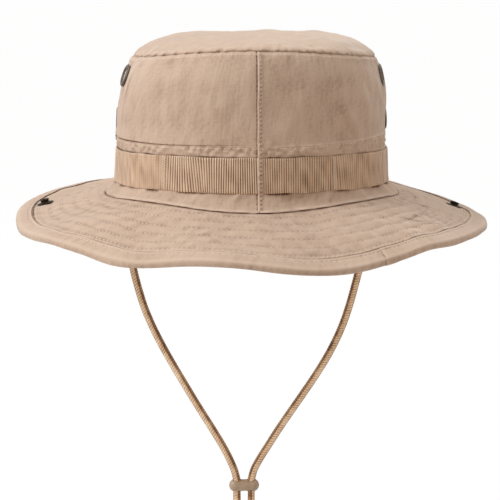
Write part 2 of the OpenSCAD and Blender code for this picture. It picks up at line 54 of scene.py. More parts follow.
# Crown sizes
CROWN_HALF_W = 0.092
CROWN_HALF_L = 0.102
SEAM_H_SIDE = 0.092
SEAM_H_FRONT = 0.0995
CROWN_H = 0.107
DOME_POWER = 4.8
WALL_TAPER = 0.004
SHOULDER_IN = 0.0075
SHOULDER_SHIFT = 0.002
SHOULDER_H = 0.04
SHOULDER_POWER = 4.0
FLARE_OUT = 0.007
FLARE_H = 0.012
CROWN_T = 0.001
CROWN_R = (CROWN_HALF_W + CROWN_HALF_L) / 2

# Sweatband and webbing band sizes
SWEATBAND_H = 0.04
SWEATBAND_T = 0.0012
BAND_W = 0.022
BAND_T = 0.0009
BAND_FRONT_Z = 0.0115
BAND_SIDE_Z = 0.0085
BAND_LOOPS = 5
BAND_SLACK = 0.0006
BAND_STAND = 0.0003
BAND_TURN = -4 * DEG

# Brim sizes; a wave is an angle, an extra fall and a spread
BRIM_W = 0.0595
BRIM_T = 0.0025
LEDGE = 0.01
JOINT_WAVE = 0.0033
EDGE_FALL = 0.0148
FRONT_FALL = 0.0043
FALL_POWER = 1.1
BINDING_W = 0.01
BRIM_WAVES = [(15, 0.0077, 18), (-31, 0.0056, 12), (99, 0.0042, 27), (-74, 0.0029, 12), (138, -0.0024, 8),
              (40, -0.0014, 6), (-134, -0.0035, 40)]
FOLD_MARGIN = 0.0035

# Vents and snaps
VENT_BORE = 0.0096
VENT_HOLE_R = 0.006
VENTS = {"upper": (76.5, 0.08), "lower": (88, 0.05)}
SNAP_OD = 0.012
SNAP_ANGLE = 94
SNAP_GAP = 0.002
SNAP_SHARE = (BRIM_W - BINDING_W - SNAP_GAP - SNAP_OD / 2) / BRIM_W


# Points from their coordinates
def stack(*parts):
    return np.stack(np.broadcast_arrays(*parts), axis=-1)


# Weave coordinates of cloth, from two distances along it
def weave_at(u, v):
    return stack(u, v, 0 * v)


# Surfaces of the hat, at angles from the front in radians
def seam_h(phi):
    return SEAM_H_SIDE + (SEAM_H_FRONT - SEAM_H_SIDE) * cos(phi) ** 2


def joint_z(phi):
    return JOINT_WAVE * sin(2 * phi) ** 2


def shoulder_at(phi):
    return SHOULDER_IN - SHOULDER_SHIFT * sin(phi)


def wall_inset(phi, z):
    flare = FLARE_OUT * maximum(0, (FLARE_H - z) / (FLARE_H - joint_z(phi))) ** 2
    turn = shoulder_at(phi) * maximum(0, (z - seam_h(phi) + SHOULDER_H) / SHOULDER_H) ** SHOULDER_POWER
    return WALL_TAPER * z / seam_h(phi) + turn - flare


def oval(phi, inset, z):
    x = (CROWN_HALF_W - inset) * sin(phi)
    y = -(CROWN_HALF_L - inset) * cos(phi)
    return stack(x, y, z)


# Degrees round from an angle, between -180 and 180
def turned_from(phi, angle):
    return (phi / DEG - angle + 180) % 360 - 180


def fall_at(phi):
    fall = EDGE_FALL + FRONT_FALL * cos(phi)
    for angle, extra, spread in BRIM_WAVES:
        fall = fall + extra * bell(turned_from(phi, angle), spread)
    return fall


def brim_z(phi, share):
    out = maximum(0, share)
    return joint_z(phi) * (1 - out) - fall_at(phi) * out ** FALL_POWER


def brim_point(phi, share, dz=0.0):
    return oval(phi, -FLARE_OUT - BRIM_W * share, brim_z(phi, share) + dz)


def band_z(phi, share):
    return BAND_SIDE_Z + (BAND_FRONT_Z - BAND_SIDE_Z) * (1 - sin(phi) ** 4) + BAND_W * share


def unit(v):
    return v / norm(v, axis=-1, keepdims=True)


def bell(d, width):
    return exp(-(d / width) ** 2)


def ease(t):
    t = clip(t, 0, 1)
    return t * t * (3 - 2 * t)


# Waves that add up to a random field
FIELD_WAVES = 16
RING_WAVES = 14


# Smooth random field of mean 0 and spread 1 with bumps of about the given size, drawn out along v
def field(u, v, size, seed, stretch=1.0):
    rng = np.random.default_rng(seed)
    total = 0.0
    for _ in range(FIELD_WAVES):
        turn = rng.uniform(0, 2 * pi)
        k = 2 * pi / (size * rng.uniform(1.4, 3.0))
        total = total + sin(k * (u * math.cos(turn) + v * math.sin(turn) / stretch) + rng.uniform(0, 7))
    return total / math.sqrt(FIELD_WAVES / 2)


# Sum of such fields, each with a strength, a bump size, a seed and a stretch
def layered(u, v, layers):
    return sum(strength * field(u, v, *rest) for strength, *rest in layers)


# Strength from low to high that comes and goes along a line
def patchy(u, base, swing, size, seed, low=0, high=1):
    return clip(base + swing * field(u, 0 * u, size, seed), low, high)


# Field that closes round the hat: whole numbers of waves between low and high, slanting with r
def ring_field(phi, r, low, high, seed, slant=0.0):
    rng = np.random.default_rng(seed)
    total = 0.0
    for _ in range(RING_WAVES):
        waves = rng.integers(low, high)
        total = total + sin(waves * phi + rng.uniform(-1, 1) * slant * r + rng.uniform(0, 7))
    return total / math.sqrt(RING_WAVES / 2)


# Points closer than this are one where a piece is merged
MERGE_DIST = 1e-7


# Mesh from points and faces of one corner count, with weave coordinates and a tone from -1 to 1
# The tone holds painted light and shade as well as random tone
def make_piece(name, points, faces, material, weave=None, tone=None, merge=False):
    points = np.asarray(points, np.float32).reshape(-1, 3)
    faces = np.asarray(faces, np.int32)
    mesh = bpy.data.meshes.new(name)
    mesh.vertices.add(len(points))
    mesh.vertices.foreach_set("co", points.ravel())
    mesh.loops.add(faces.size)
    mesh.loops.foreach_set("vertex_index", faces.ravel())
    mesh.polygons.add(len(faces))
    mesh.polygons.foreach_set("loop_start", arange(0, faces.size, faces.shape[1], dtype=np.int32))
    mesh.update(calc_edges=True)
    weave = points if weave is None else weave
    tone = np.zeros(len(points)) if tone is None else clip(tone, -1, 1)
    for title, kind, key, data in (("weave", "FLOAT_VECTOR", "vector", weave),
                                   ("tone", "FLOAT", "value", tone)):
        values = mesh.attributes.new(title, kind, "POINT").data
        values.foreach_set(key, np.asarray(data, np.float32).ravel())
    if merge:
        bm = bmesh.new()
        bm.from_mesh(mesh)
        bmesh.ops.remove_doubles(bm, verts=bm.verts, dist=MERGE_DIST)
        bm.to_mesh(mesh)
        bm.free()
    mesh.validate()
    mesh.polygons.foreach_set("use_smooth", np.ones(len(mesh.polygons), bool))
    mesh.materials.append(material)
    piece = bpy.data.objects.new(name, mesh)
    bpy.context.scene.collection.objects.link(piece)
    return piece


# Quads of a grid of points; closed joins the last column to the first
def grid_faces(rows, cols, closed=False):
    r, c = np.meshgrid(arange(rows - 1), arange(cols if closed else cols - 1), indexing="ij")
    low, high, n = r * cols, (r + 1) * cols, (c + 1) % cols
    return np.stack([low + c, low + n, high + n, high + c], axis=-1).reshape(-1, 4)


# Quads of a shell between an outer and an inner grid; keep marks those that stay, and every edge is walled
def shell_faces(rows, cols, keep, closed=False):
    wide = cols if closed else cols - 1
    index = lambda r, c: r * cols + c % cols
    shift = rows * cols
    r, c = np.nonzero(keep)
    a, b, d, e = index(r, c), index(r, c + 1), index(r + 1, c + 1), index(r + 1, c)
    quads = [np.stack([a, b, d, e], 1), np.stack([e, d, b, a], 1) + shift]
    padded = np.zeros((rows + 1, wide + 2), bool)
    padded[1:-1, 1:-1] = keep
    if closed:
        padded[1:-1, 0] = keep[:, -1]
        padded[1:-1, -1] = keep[:, 0]
    for dr, dc, first, second in ((-1, 0, a, b), (0, 1, b, d), (1, 0, d, e), (0, -1, e, a)):
        bare = ~padded[r + 1 + dr, c + 1 + dc]
        f, s = first[bare], second[bare]
        quads.append(np.stack([s, f, f + shift, s + shift], 1))
    return concatenate(quads)


# Drops the points that no face uses
def compact(points, faces, *more):
    used = np.zeros(len(points), bool)
    used[faces.ravel()] = True
    new = np.cumsum(used) - 1
    return [points[used], new[faces]] + [m[used] for m in more]


def shell_piece(name, outer, inner, material, weave, tone, keep=None, closed=False, merge=False):
    rows, cols = outer.shape[:2]
    if keep is None:
        keep = np.ones((rows - 1, cols if closed else cols - 1), bool)
    points = concatenate([outer.reshape(-1, 3), inner.reshape(-1, 3)])
    weave = concatenate([weave.reshape(-1, 3)] * 2)
    tone = concatenate([tone.ravel(), 0 * tone.ravel()])
    points, faces, weave, tone = compact(points, shell_faces(rows, cols, keep, closed), weave, tone)
    return make_piece(name, points, faces, material, weave, tone, merge)


# Normals of a grid whose columns close round the hat
def grid_normals(grid):
    return unit(np.cross(np.roll(grid, -1, 1) - np.roll(grid, 1, 1), np.gradient(grid, axis=0)))


# Length along a line up to each of its points, and the points at given lengths
def run_of(line):
    return concatenate([[0], np.cumsum(norm(np.diff(line, axis=0), axis=1))])


def points_at(s, run, line):
    return np.stack([np.interp(s, run, line[:, k]) for k in range(3)], axis=1)


# Curve through points with its own smooth turns, at even steps
def smooth_path(points, step):
    p = np.asarray(points, float)
    p = concatenate([[2 * p[0] - p[1]], p, [2 * p[-1] - p[-2]]])
    t = linspace(0, 1, 24, endpoint=False)[:, None]
    out = []
    for a, b, c, d in zip(p, p[1:], p[2:], p[3:]):
        curve = 2 * b + (c - a) * t + (2 * a - 5 * b + 4 * c - d) * t ** 2
        out.append(0.5 * (curve + (3 * b - a - 3 * c + d) * t ** 3))
    dense = concatenate(out + [p[-2:-1]])
    run = run_of(dense)
    s = linspace(0, run[-1], max(3, int(round(run[-1] / step)) + 1))
    return points_at(s, run, dense), s


def path_length(path):
    return float(norm(np.diff(path, axis=0), axis=1).sum())


# Two directions across a path, carried along it without twist
def path_frames(path):
    way = unit(np.gradient(path, axis=0))
    side = np.zeros_like(path)
    start = array([0.0, 1.0, 0.0])
    for i in range(len(path)):
        start = start - way[i] * np.dot(start, way[i])
        start = start / norm(start)
        side[i] = start
    return side, np.cross(way, side)


# Directions round an axis, from two that lie across it
def ring_of(side, up, turn):
    return side[..., None, :] * cos(turn)[:, None] + up[..., None, :] * sin(turn)[:, None]


def turn_steps(sides):
    return arange(sides) * 2 * pi / sides


THREAD_STATIONS = 6
THREAD_SIDES = 6
STITCH_ARCH = 0.00025


# Threads of sewing: capsules from a to b that arch along the normals
def thread_mesh(a, b, normals, thick, arch):
    t = linspace(0, 1, THREAD_STATIONS)
    way = unit(b - a)
    across = unit(np.cross(normals, way))
    up = np.cross(way, across)
    lift = arch * sin(pi * t) - 0.35 * thick
    girth = thick / 2 * clip(sin(pi * (0.06 + 0.88 * t)), 0, 1) ** 0.45
    line = a[:, None] + (b - a)[:, None] * t[None, :, None] + up[:, None] * lift[None, :, None]
    ring = ring_of(across, up, turn_steps(THREAD_SIDES))[:, None]
    points = line[:, :, None] + ring * girth[None, :, None, None]
    top = (THREAD_STATIONS - 1) * THREAD_SIDES
    caps = [(0, 5, 4, 3), (0, 3, 2, 1), (top, top + 1, top + 2, top + 3), (top, top + 3, top + 4, top + 5)]
    one = concatenate([grid_faces(THREAD_STATIONS, THREAD_SIDES, True), array(caps)])
    faces = one[None] + (arange(len(a)) * THREAD_STATIONS * THREAD_SIDES)[:, None, None]
    return points.reshape(-1, 3), faces.reshape(-1, 4)


# Row of stitches along a dense line
def stitch_row(line, normals, pitch, share=0.72, thick=0.0005):
    run = run_of(line)
    count = max(1, int(round(run[-1] / pitch)))
    step = run[-1] / count
    starts = step * (arange(count) + (1 - share) / 2)
    ends = points_at(starts + share * step, run, line)
    upward = unit(points_at(starts + step / 2, run, normals))
    return thread_mesh(points_at(starts, run, line), ends, upward, thick, STITCH_ARCH)


# One set of points and faces from many, with what else each has for its points
def joined(parts):
    shifts = np.cumsum([0] + [len(part[0]) for part in parts])
    faces = concatenate([part[1] + shift for part, shift in zip(parts, shifts)])
    points, *more = [concatenate([part[k] for part in parts]) for k in range(len(parts[0])) if k != 1]
    return [points, faces] + more


def thread_piece(name, rows):
    return make_piece(name, *joined(rows), THREAD)


# Turn from straight up to a normal
def upright_to(normal):
    return array(Vector((0, 0, 1)).rotation_difference(Vector(normal)).to_matrix()).T


LATHE_SIDES = 48


# Turned piece from a profile of radius and height, seated on a point with its axis along a normal
def lathe_piece(name, profile, point, normal, material):
    r, h = profile[:, 0, None], profile[:, 1, None]
    turn = turn_steps(LATHE_SIDES)
    grid = stack(r * cos(turn), r * sin(turn), h).reshape(-1, 3)
    points = grid @ upright_to(normal) + np.asarray(point)
    return make_piece(name, points, grid_faces(len(profile), LATHE_SIDES, True), material, grid, merge=True)


# Hide the model's nodes that a piece stands for
def label(piece, slot, *nodes):
    if nodes:
        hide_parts(*nodes)


def dress(piece, body, slot, *nodes):
    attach(piece, body)
    label(piece, slot, *nodes)


SEAT_TURN = 0.01
SEAT_RISE = 0.0005


# Point on a surface and its normal, from points a step away each way
def seat(p, a, b, da, db):
    return p(a, b), unit(np.cross(p(a + da, b) - p(a - da, b), p(a, b + db) - p(a, b - db)))


def wall_seat(phi, z):
    return seat(lambda a, h: oval(a, wall_inset(a, h), h), phi, z, SEAT_TURN, SEAT_RISE)


def brim_seat(phi, share):
    return seat(lambda s, a: brim_point(a, s), share, phi, SEAT_TURN, SEAT_TURN)


# Camera or lamp at a place, facing a point
def aimed(name, data, place, aim):
    thing = bpy.data.objects.new(name, data)
    thing.location = place
    back = Vector(place) - Vector(aim)
    thing.rotation_euler = (-back).to_track_quat("-Z", "Y").to_euler()
    bpy.context.scene.collection.objects.link(thing)
    return thing


# Place on the wall where a turned-up brim side brings its snap
FOLD_LIFT = 0.0006
FOLD_X = CROWN_HALF_W + FLARE_OUT + FOLD_MARGIN
FOLD_Z = brim_z(90 * DEG, FOLD_MARGIN / BRIM_W) + FOLD_LIFT
snap_point = brim_point(SNAP_ANGLE * DEG, SNAP_SHARE)
CROWN_SNAP_Z = FOLD_Z + math.hypot(snap_point[0] - FOLD_X, snap_point[2] - FOLD_Z)
snap_half_l = CROWN_HALF_L - wall_inset(90 * DEG, CROWN_SNAP_Z)
CROWN_SNAP_ANGLE = 90 + math.asin(snap_point[1] / snap_half_l) / DEG


# Linear colour for the shaders, from one of 0 to 255
def srgb(colour):
    linear = [(c / 255 / 12.92) if c < 10 else ((c / 255 + 0.055) / 1.055) ** 2.4 for c in colour]
    return (*linear, 1.0)


class Paint:
    """The node tree of a material or of the world, with short ways to add what these finishes share."""

    def __init__(self, owner, shader="Principled BSDF"):
        owner.use_nodes = True
        self.owner = owner
        self.tree = owner.node_tree
        self.shader = self.tree.nodes[shader]

    def put(self, socket, value):
        if isinstance(value, bpy.types.NodeSocket):
            self.tree.links.new(value, socket)
        else:
            socket.default_value = value

    def shade(self, **inputs):
        for key, value in inputs.items():
            self.put(self.shader.inputs[key.replace("_", " ")], value)

    # Output of a new node: small letters name its settings, and capitals and numbers its inputs
    def node(self, kind, output=0, **values):
        node = self.tree.nodes.new("ShaderNode" + kind)
        for key, value in values.items():
            if key[0].islower():
                setattr(node, key, value)
            else:
                self.put(node.inputs[int(key[1:]) if key[0] == "_" else key], value)
        return node.outputs[output]

    # The weave coordinates and the tone, random and painted light and shade, that a mesh carries
    def carried(self):
        weave = self.node("Attribute", "Vector", attribute_name="weave")
        return weave, self.node("Attribute", "Fac", attribute_name="tone")

    def math(self, operation, a, b=0.0, c=0.0):
        return self.node("Math", operation=operation, _0=a, _1=b, _2=c)

    def noise(self, vector, scale, detail=3.0, rough=0.55):
        return self.node("TexNoise", "Fac", Vector=vector, Scale=scale, Detail=detail, Roughness=rough)

    def stretched(self, vector, scale):
        return self.node("VectorMath", operation="MULTIPLY", _0=vector, _1=scale)

    def mix(self, share, a, b):
        return self.node("Mix", 2, data_type="RGBA", _0=share, _6=a, _7=b)

    def span(self, value, low, high, to_low=0.0, to_high=1.0):
        return self.node("MapRange", _0=value, _1=low, _2=high, _3=to_low, _4=to_high)

    # From low to high with a noise, whose values lie mostly between these two
    def vary(self, noise, low=0.0, high=1.0):
        return self.span(noise, 0.3, 0.7, low, high)

    def bump(self, height, distance, strength):
        return self.node("Bump", Height=height, Distance=distance, Strength=strength)

    # Dark, middle and pale in turn as the level goes from 0 to 1
    def ramp(self, level, dark, mid, pale):
        low = self.mix(self.span(level, 0.0, 0.5), srgb(dark), srgb(mid))
        return self.mix(self.span(level, 0.5, 1.0), low, srgb(pale))

    # 1 for what the camera sees, by itself, in a reflection or through something clear
    def seen(self):
        light = self.node("LightPath").node.outputs
        other = self.math("MAXIMUM", light["Is Glossy Ray"], light["Is Transmission Ray"])
        return self.math("MAXIMUM", light["Is Camera Ray"], other)

    def surface(self, output, share, a, b):
        self.put(self.tree.nodes[output].inputs["Surface"], self.node("MixShader", _0=share, _1=a, _2=b))


def new_paint(name):
    return Paint(bpy.data.materials.new(name))


# The nap of the cloth is as warm as the cloth
SHEEN_TINT = (1.0, 0.97, 0.94, 1.0)
CLOTH_SHEEN = 0.45
CLOTH_ROUGH = 0.85
YARN_DEPTH = 0.00005
SLUB_WAYS = ((120.0, 1700.0, 120.0), (1700.0, 120.0, 120.0))
# Colours of shine: plain, and that of browned lacquer
PLAIN_SHINE = (1.0, 1.0, 1.0, 1.0)
BROWN_SHINE = (1.0, 0.66, 0.42, 1.0)


# Woven cotton: yarns both ways and faint slubs, with the tone's painted light on ridges and painted shade in
# hollows
def cloth_material(name, dark, mid, pale, yarn=0.00055):
    paint = new_paint(name)
    weave, tone = paint.carried()
    cloudy = paint.noise(weave, 22.0, 3.0)
    speck = paint.noise(weave, 1400.0, 2.0, 0.7)
    slub = paint.math("ADD", *[paint.noise(paint.stretched(weave, way), 1.0, 2.0) for way in SLUB_WAYS])
    ways = paint.node("SeparateXYZ", Vector=weave).node.outputs[:2]
    across, along = [paint.math("SINE", paint.math("MULTIPLY", way, 2 * pi / yarn)) for way in ways]
    cross = paint.math("MULTIPLY", across, along)
    level = paint.math("MULTIPLY_ADD", tone, 0.5, paint.vary(cloudy, 0.46, 0.54))
    level = paint.math("ADD", level, paint.span(slub, 0.7, 1.3, -0.05, 0.05))
    level = paint.math("ADD", level, paint.vary(speck, -0.07, 0.07))
    height = paint.math("MULTIPLY_ADD", slub, 0.6, paint.math("MULTIPLY", cross, 0.5))
    paint.shade(Base_Color=paint.ramp(level, dark, mid, pale),
                Roughness=paint.span(slub, 0.7, 1.3, CLOTH_ROUGH - 0.05, CLOTH_ROUGH + 0.06),
                Sheen_Weight=paint.span(level, 0.0, 0.42, 0.0, CLOTH_SHEEN), Sheen_Tint=SHEEN_TINT,
                Sheen_Roughness=0.4, Specular_IOR_Level=0.25, Normal=paint.bump(height, YARN_DEPTH, 0.8))
    return paint.owner


def cord_material(name, dark, mid, pale):
    paint = new_paint(name)
    weave, tone = paint.carried()
    fibre = paint.noise(paint.stretched(weave, (2600.0, 2600.0, 500.0)), 1.0, 3.0)
    cloudy = paint.noise(weave, 60.0, 3.0)
    level = paint.math("MULTIPLY_ADD", tone, 0.5, paint.vary(cloudy, 0.36, 0.64))
    level = paint.math("ADD", level, paint.span(fibre, 0.35, 0.65, -0.12, 0.12))
    paint.shade(Base_Color=paint.ramp(level, dark, mid, pale), Sheen_Weight=0.3,
                Roughness=paint.vary(fibre, 0.55, 0.75), Normal=paint.bump(fibre, 0.0002, 0.6))
    return paint.owner


def metal_material(name, dark, pale, rough, metallic, wear, shine=PLAIN_SHINE, gloss=0.5):
    paint = new_paint(name)
    place = paint.node("TexCoord", "Object")
    worn = paint.span(paint.noise(place, 420.0, 5.0, 0.65), 0.45, 0.75)
    scuff = paint.noise(place, 1800.0, 2.0)
    paint.shade(Base_Color=paint.mix(paint.math("MULTIPLY", worn, wear), srgb(dark), srgb(pale)),
                Roughness=paint.vary(scuff, rough - 0.06, rough + 0.08), Metallic=metallic,
                Specular_Tint=shine, Specular_IOR_Level=gloss, Normal=paint.bump(scuff, 0.00003, 0.4))
    return paint.owner


def bead_material(name, dark, pale):
    paint = new_paint(name)
    place = paint.node("TexCoord", "Object")
    mottle = paint.noise(place, 110.0, 2.0)
    grain = paint.noise(place, 2600.0, 2.0)
    paint.shade(Base_Color=paint.mix(paint.vary(mottle), srgb(dark), srgb(pale)),
                Roughness=paint.vary(grain, 0.34, 0.46), Normal=paint.bump(grain, 0.00004, 0.3))
    return paint.owner


CLOTH = cloth_material("khaki_cotton", (84, 48, 28), (200, 172, 151), (224, 202, 184))
LINING = cloth_material("sweatband_twill", (150, 126, 104), (186, 162, 138), (204, 182, 160), 0.0008)
WEBBING = cloth_material("ribbed_webbing", (86, 56, 36), (199, 167, 140), (236, 208, 181), 0.0007)
BINDING = cloth_material("edge_tape", (84, 50, 32), (201, 173, 152), (223, 201, 183), 0.0006)
THREAD = cloth_material("sewing_thread", (198, 170, 146), (234, 213, 194), (246, 230, 214), 0.0004)
CORD = cord_material("braided_cord", (88, 50, 20), (206, 160, 116), (253, 226, 192))
VENT_METAL = metal_material("browned_metal", (78, 60, 44), (150, 126, 100), 0.42, 0.5, 0.6)
WIRE = metal_material("wire", (170, 168, 164), (222, 220, 216), 0.4, 0.5, 0.8)
SNAP_METAL = metal_material("black_metal", (14, 10, 8), (74, 58, 44), 0.46, 0.1, 0.3, BROWN_SHINE, 0.2)
BEAD = bead_material("bead_plastic", (166, 141, 118), (184, 160, 136))


# Node of the model that stays as it is, in its own finish
def finish_node(name, material):
    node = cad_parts[name]
    node.data.materials.clear()
    node.data.materials.append(material)
    return node


# Camera at the photograph's viewing angle
CAMERA_PLACE = (-0.0565, -1.1987, 0.158)
CAMERA_AIM = (-0.0009, 0.0, -0.0407)
LENS_MM = 128.2
SENSOR_MM = 36
camera_data = bpy.data.cameras.new("camera")
camera_data.lens = LENS_MM
camera_data.sensor_width = SENSOR_MM
bpy.context.scene.camera = aimed("camera", camera_data, CAMERA_PLACE, CAMERA_AIM)

# Chin cord: the construction's route in millimetres, top to bottom
CORD_D = 0.005
CORD_R = CORD_D / 2
CORD_Z = [11, 4, -4, -12, -22, -32, -44, -56, -69, -81, -93.5, -105.5, -117.5, -129.5, -142, -154.5, -166.5,
          -178, -187, -195, -200.5, -203.5, -206.9]
CORD_X = {"left": [-85.4, -85.4, -85.4, -85.3, -84.8, -83.9, -82.2, -79.9, -76.6, -72.9, -67.8, -62, -55.6,
                   -48.8, -41.6, -34.2, -26.9, -20.2, -15.6, -12.2, -10.6, -10.1, -10],
          "right": [85.4, 85.4, 85.1, 84.2, 82.4, 80.2, 77.2, 73.8, 70.5, 67.2, 63, 57.8, 51.5, 44.2, 35.9,
                    27.4, 19.4, 12.2, 6.6, 2.3, 0.6, 0.1, 0]}
TAIL_Z = [-207.1, -213, -223, -235, -247, -259, -270]
TAIL_X = {"left": [-10, -10, -9.9, -9.5, -8.9, -8.2, -7.8], "right": [0, 0, -0.1, -0.5, -1.1, -1.8, -2.2]}
CORD_TOP_Z = 0.011
BEAD_Z = -0.207
KNOT_Z = -0.27
TAIL_TUCK = 0.006
TAIL_BLEND = (-0.197, -0.28)
BRAID_COLUMNS = 4
BRAID_PITCH = 0.0019
BRAID_SLANT = 1.1
# Where the pale column of each stretch begins, round the cord; the brown columns are painted shade for the
# side turned from the light
CORD_TURN = {"left": 65 * DEG, "right": 35 * DEG}
TAIL_TURN = {"left": 65 * DEG, "right": 0.0}
CORD_STEP = 0.0004
CORD_SIDES = 28


# Route in metres, to a hundredth of a millimetre
def route(across, down):
    return [(round(x * MM, 5), 0, round(z * MM, 5)) for x, z in zip(across, down)]


# Tube of herringbone braid: plump columns whose slanting ribs meet in the valleys, pale and brown in turn,
# the brown painted shade
def braid_tube(points, start):
    path, run = smooth_path(points, CORD_STEP)
    side, up = path_frames(path)
    turn = turn_steps(CORD_SIDES)
    s = run[:, None]
    column = (turn[None] - start) * BRAID_COLUMNS / (2 * pi)
    along = column - np.floor(column) - 0.5
    slant = np.where(np.floor(column) % 2, 1, -1)
    pale = 0.5 + 0.5 * slant
    plump = cos(pi * along) ** 0.6
    rib = cos(2 * pi * (s / BRAID_PITCH - BRAID_SLANT * slant * along))
    r = CORD_R * (0.93 + 0.12 * plump + 0.05 * rib * plump)
    grid = path[:, None] + ring_of(side, up, turn) * r[:, :, None]
    middle = np.repeat(path[:, None], CORD_SIDES, 1)
    grid = concatenate([middle[:1], grid, middle[-1:]])
    # Painted shade: every other column brown, darker valleys and darker grooves between the ribs; random tone
    shade = -0.34 + 0.9 * pale + (0.42 + 0.26 * pale) * rib * plump - 0.7 * (1 - plump)
    shade = shade + 0.1 * field(s, turn[None] * CORD_R, 0.004, 91)
    tone = concatenate([0 * shade[:1], shade, 0 * shade[:1]])
    weave = stack(turn[None] * CORD_R, 0 * s, s)
    weave = concatenate([weave[:1], weave, weave[-1:]])
    faces = grid_faces(grid.shape[0], CORD_SIDES, True)
    return path, grid.reshape(-1, 3), faces, weave.reshape(-1, 3), tone.ravel()


# One stretch of cord along its route, with a hidden end past it
def cord_stretch(name, node, way, hidden, start, bodies, blend, **more):
    path, points, faces, weave, tone = braid_tube(way + hidden, start)
    cord = make_piece(name, points, faces, CORD, weave, tone, merge=True)
    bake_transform(cord)
    label(cord, "cord", node)
    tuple(way[0])
    path_length(path)


cord_bead = finish_node("cord_slider", BEAD)
for name in SIDES:
    cord_stretch("chin_cord_" + name, "cord_" + name, route(CORD_X[name], CORD_Z), [], CORD_TURN[name],
                 ("hat", "slider"), (CORD_TOP_Z, BEAD_Z), far_end="fitting", with_pieces=[cord_bead])
    tail = route(TAIL_X[name], TAIL_Z)
    hidden = [(tail[-1][0], 0, tail[-1][2] - TAIL_TUCK)]
    cord_stretch("chin_cord_tail_" + name, "cord_tail_" + name, tail, hidden, TAIL_TURN[name],
                 ("slider", "hat"), TAIL_BLEND, far_end="knot")

# Knot of three turns round both tails, with their ends below it
KNOT_X = -0.005
KNOT_TURNS = 3
KNOT_STEPS = 14
KNOT_START = 0.6
KNOT_PITCH = 0.0043
KNOT_R = 0.00385
KNOT_END_L = 0.0085
KNOT_TOP_Z = KNOT_Z - 0.0026
wrap = []
for t in linspace(0, KNOT_TURNS, KNOT_TURNS * KNOT_STEPS + 1):
    turn = 2 * pi * t + KNOT_START
    z = KNOT_TOP_Z - KNOT_PITCH * (t - 0.5) * 0.92
    wrap.append((KNOT_X + KNOT_R * math.cos(turn), KNOT_R * math.sin(turn), z))
low_z = KNOT_Z - KNOT_TURNS * KNOT_PITCH
KNOT_END = [(0.0024, 0, KNOT_Z - 0.001), (0.0024, 0, low_z - 0.002), (0.003, 0.0002, low_z - 0.006),
            (0.0036, 0.0005, low_z - KNOT_END_L - 0.002)]
ends = [[(KNOT_X + side * x, side * y, z) for x, y, z in KNOT_END] for side in SIDES.values()]
points, faces, weave, tone = joined([braid_tube(way, CORD_TURN["left"])[1:] for way in [wrap] + ends])
knot = make_piece("cord_end_knot", points, faces, CORD, weave, tone, merge=True)
dress(knot, "hat", "cord", "cord_knot")

# Crown walls: dents and folds are an angle, a height, half-width, half-height, rise and lean, in millimetres
CROWN_DENTS = array([
    (-43, 70, 6, 20, -1.4, 0.1), (-36, 68, 7, 20, 0.8, 0.1), (34, 60, 7, 12, -1.2, -0.6),
    (41, 56, 6, 11, 1.2, -0.6), (38, 45, 8, 6, -1.1, 0.3), (52, 64, 12, 14, 1.0, -0.4),
    (22, 70, 10, 20, 0.9, 0.3), (12, 52, 9, 12, 0.8, 0.6), (-62, 55, 12, 20, 1.1, 0.05),
    (66, 50, 10, 20, -1.1, -0.15), (-20, 60, 12, 24, 0.6, 0.0), (120, 62, 12, 22, -1.2, 0.2),
    (-128, 66, 12, 20, -1.3, -0.2), (160, 60, 12, 24, 0.9, 0.1), (-158, 55, 14, 22, 1.0, 0.1)])
CROWN_DENTS = CROWN_DENTS * (DEG, MM, MM, MM, MM, 1)
# Lines are two ends, each an angle and a height, and a rise or a depth
LINE_UNITS = array([DEG * CROWN_R, MM, DEG * CROWN_R, MM, MM])
# Fold beside each upper vent, from the top seam down to the back of the vent
SHOULDER_FOLDS = LINE_UNITS * [(-63, 92.5, -74.5, 58, 0.9), (62, 88, 72, 62, 0.5)]
CROWN_CREASES = LINE_UNITS * [
    (35.5, 64, 42, 46.5, 0.6), (26, 69, 30, 58, 0.35), (20.5, 54, 25, 43.5, 0.4), (51, 59, 50.5, 45.5, 0.3),
    (52.5, 75, 57, 71, 0.4), (-46, 75.5, -43, 71, 0.4), (-43, 65, -42.5, 43, 0.3), (15.5, 79, 17, 69, 0.25),
    (-18.5, 86, -21.5, 65.5, 0.2), (-55.5, 70, -62.5, 54, 0.4), (32.5, 81, 41, 72.5, 0.3)]
CREASE_W = 0.0007
# Pinches of cloth below the webbing: an angle, a height and a rise
CROWN_PINCHES = array([
    (-25, 8.5, 1.1), (-8.5, 9.5, 1.3), (28, 8.5, 1.5), (46, 7.5, 1.2), (-52, 7.5, 1.0), (75, 7.0, 1.0),
    (140, 8, 1.2), (-140, 8, 1.2), (170, 9.5, 1.1)]) * (DEG, MM, MM)
# Rows of the lip over the brim joint: how far out, how high and the tone, which paints shadow under the lip
# and a highlight on its crest
LIP_ROWS = array([(-0.4, 0.1, -0.9), (0.0, 0.3, -0.9), (0.6, 0.6, -0.1), (0.9, 1.0, 0.6), (0.7, 1.4, 0.5),
                  (0.2, 1.9, 0.1)]) * (MM, MM, 1)


# Valley along a line between two ends: sharp across it, fading at the ends
def crease_line(a, b, ends, width):
    a0, b0, a1, b1 = ends
    along = ((a - a0) * (a1 - a0) + (b - b0) * (b1 - b0)) / ((a1 - a0) ** 2 + (b1 - b0) ** 2)
    far = hypot(a - a0 - along * (a1 - a0), b - b0 - along * (b1 - b0))
    return exp(-far / width) * bell(maximum(0, abs(along - 0.5) - 0.3), 0.25)


# Distances from a fold: round from its line, and up from its middle
def from_fold(u, z, ends):
    u0, z0, u1, z1 = ends
    t = clip((z - z0) / (z1 - z0), 0, 1)
    return u - (u0 + (u1 - u0) * t), z - (z0 + z1) / 2


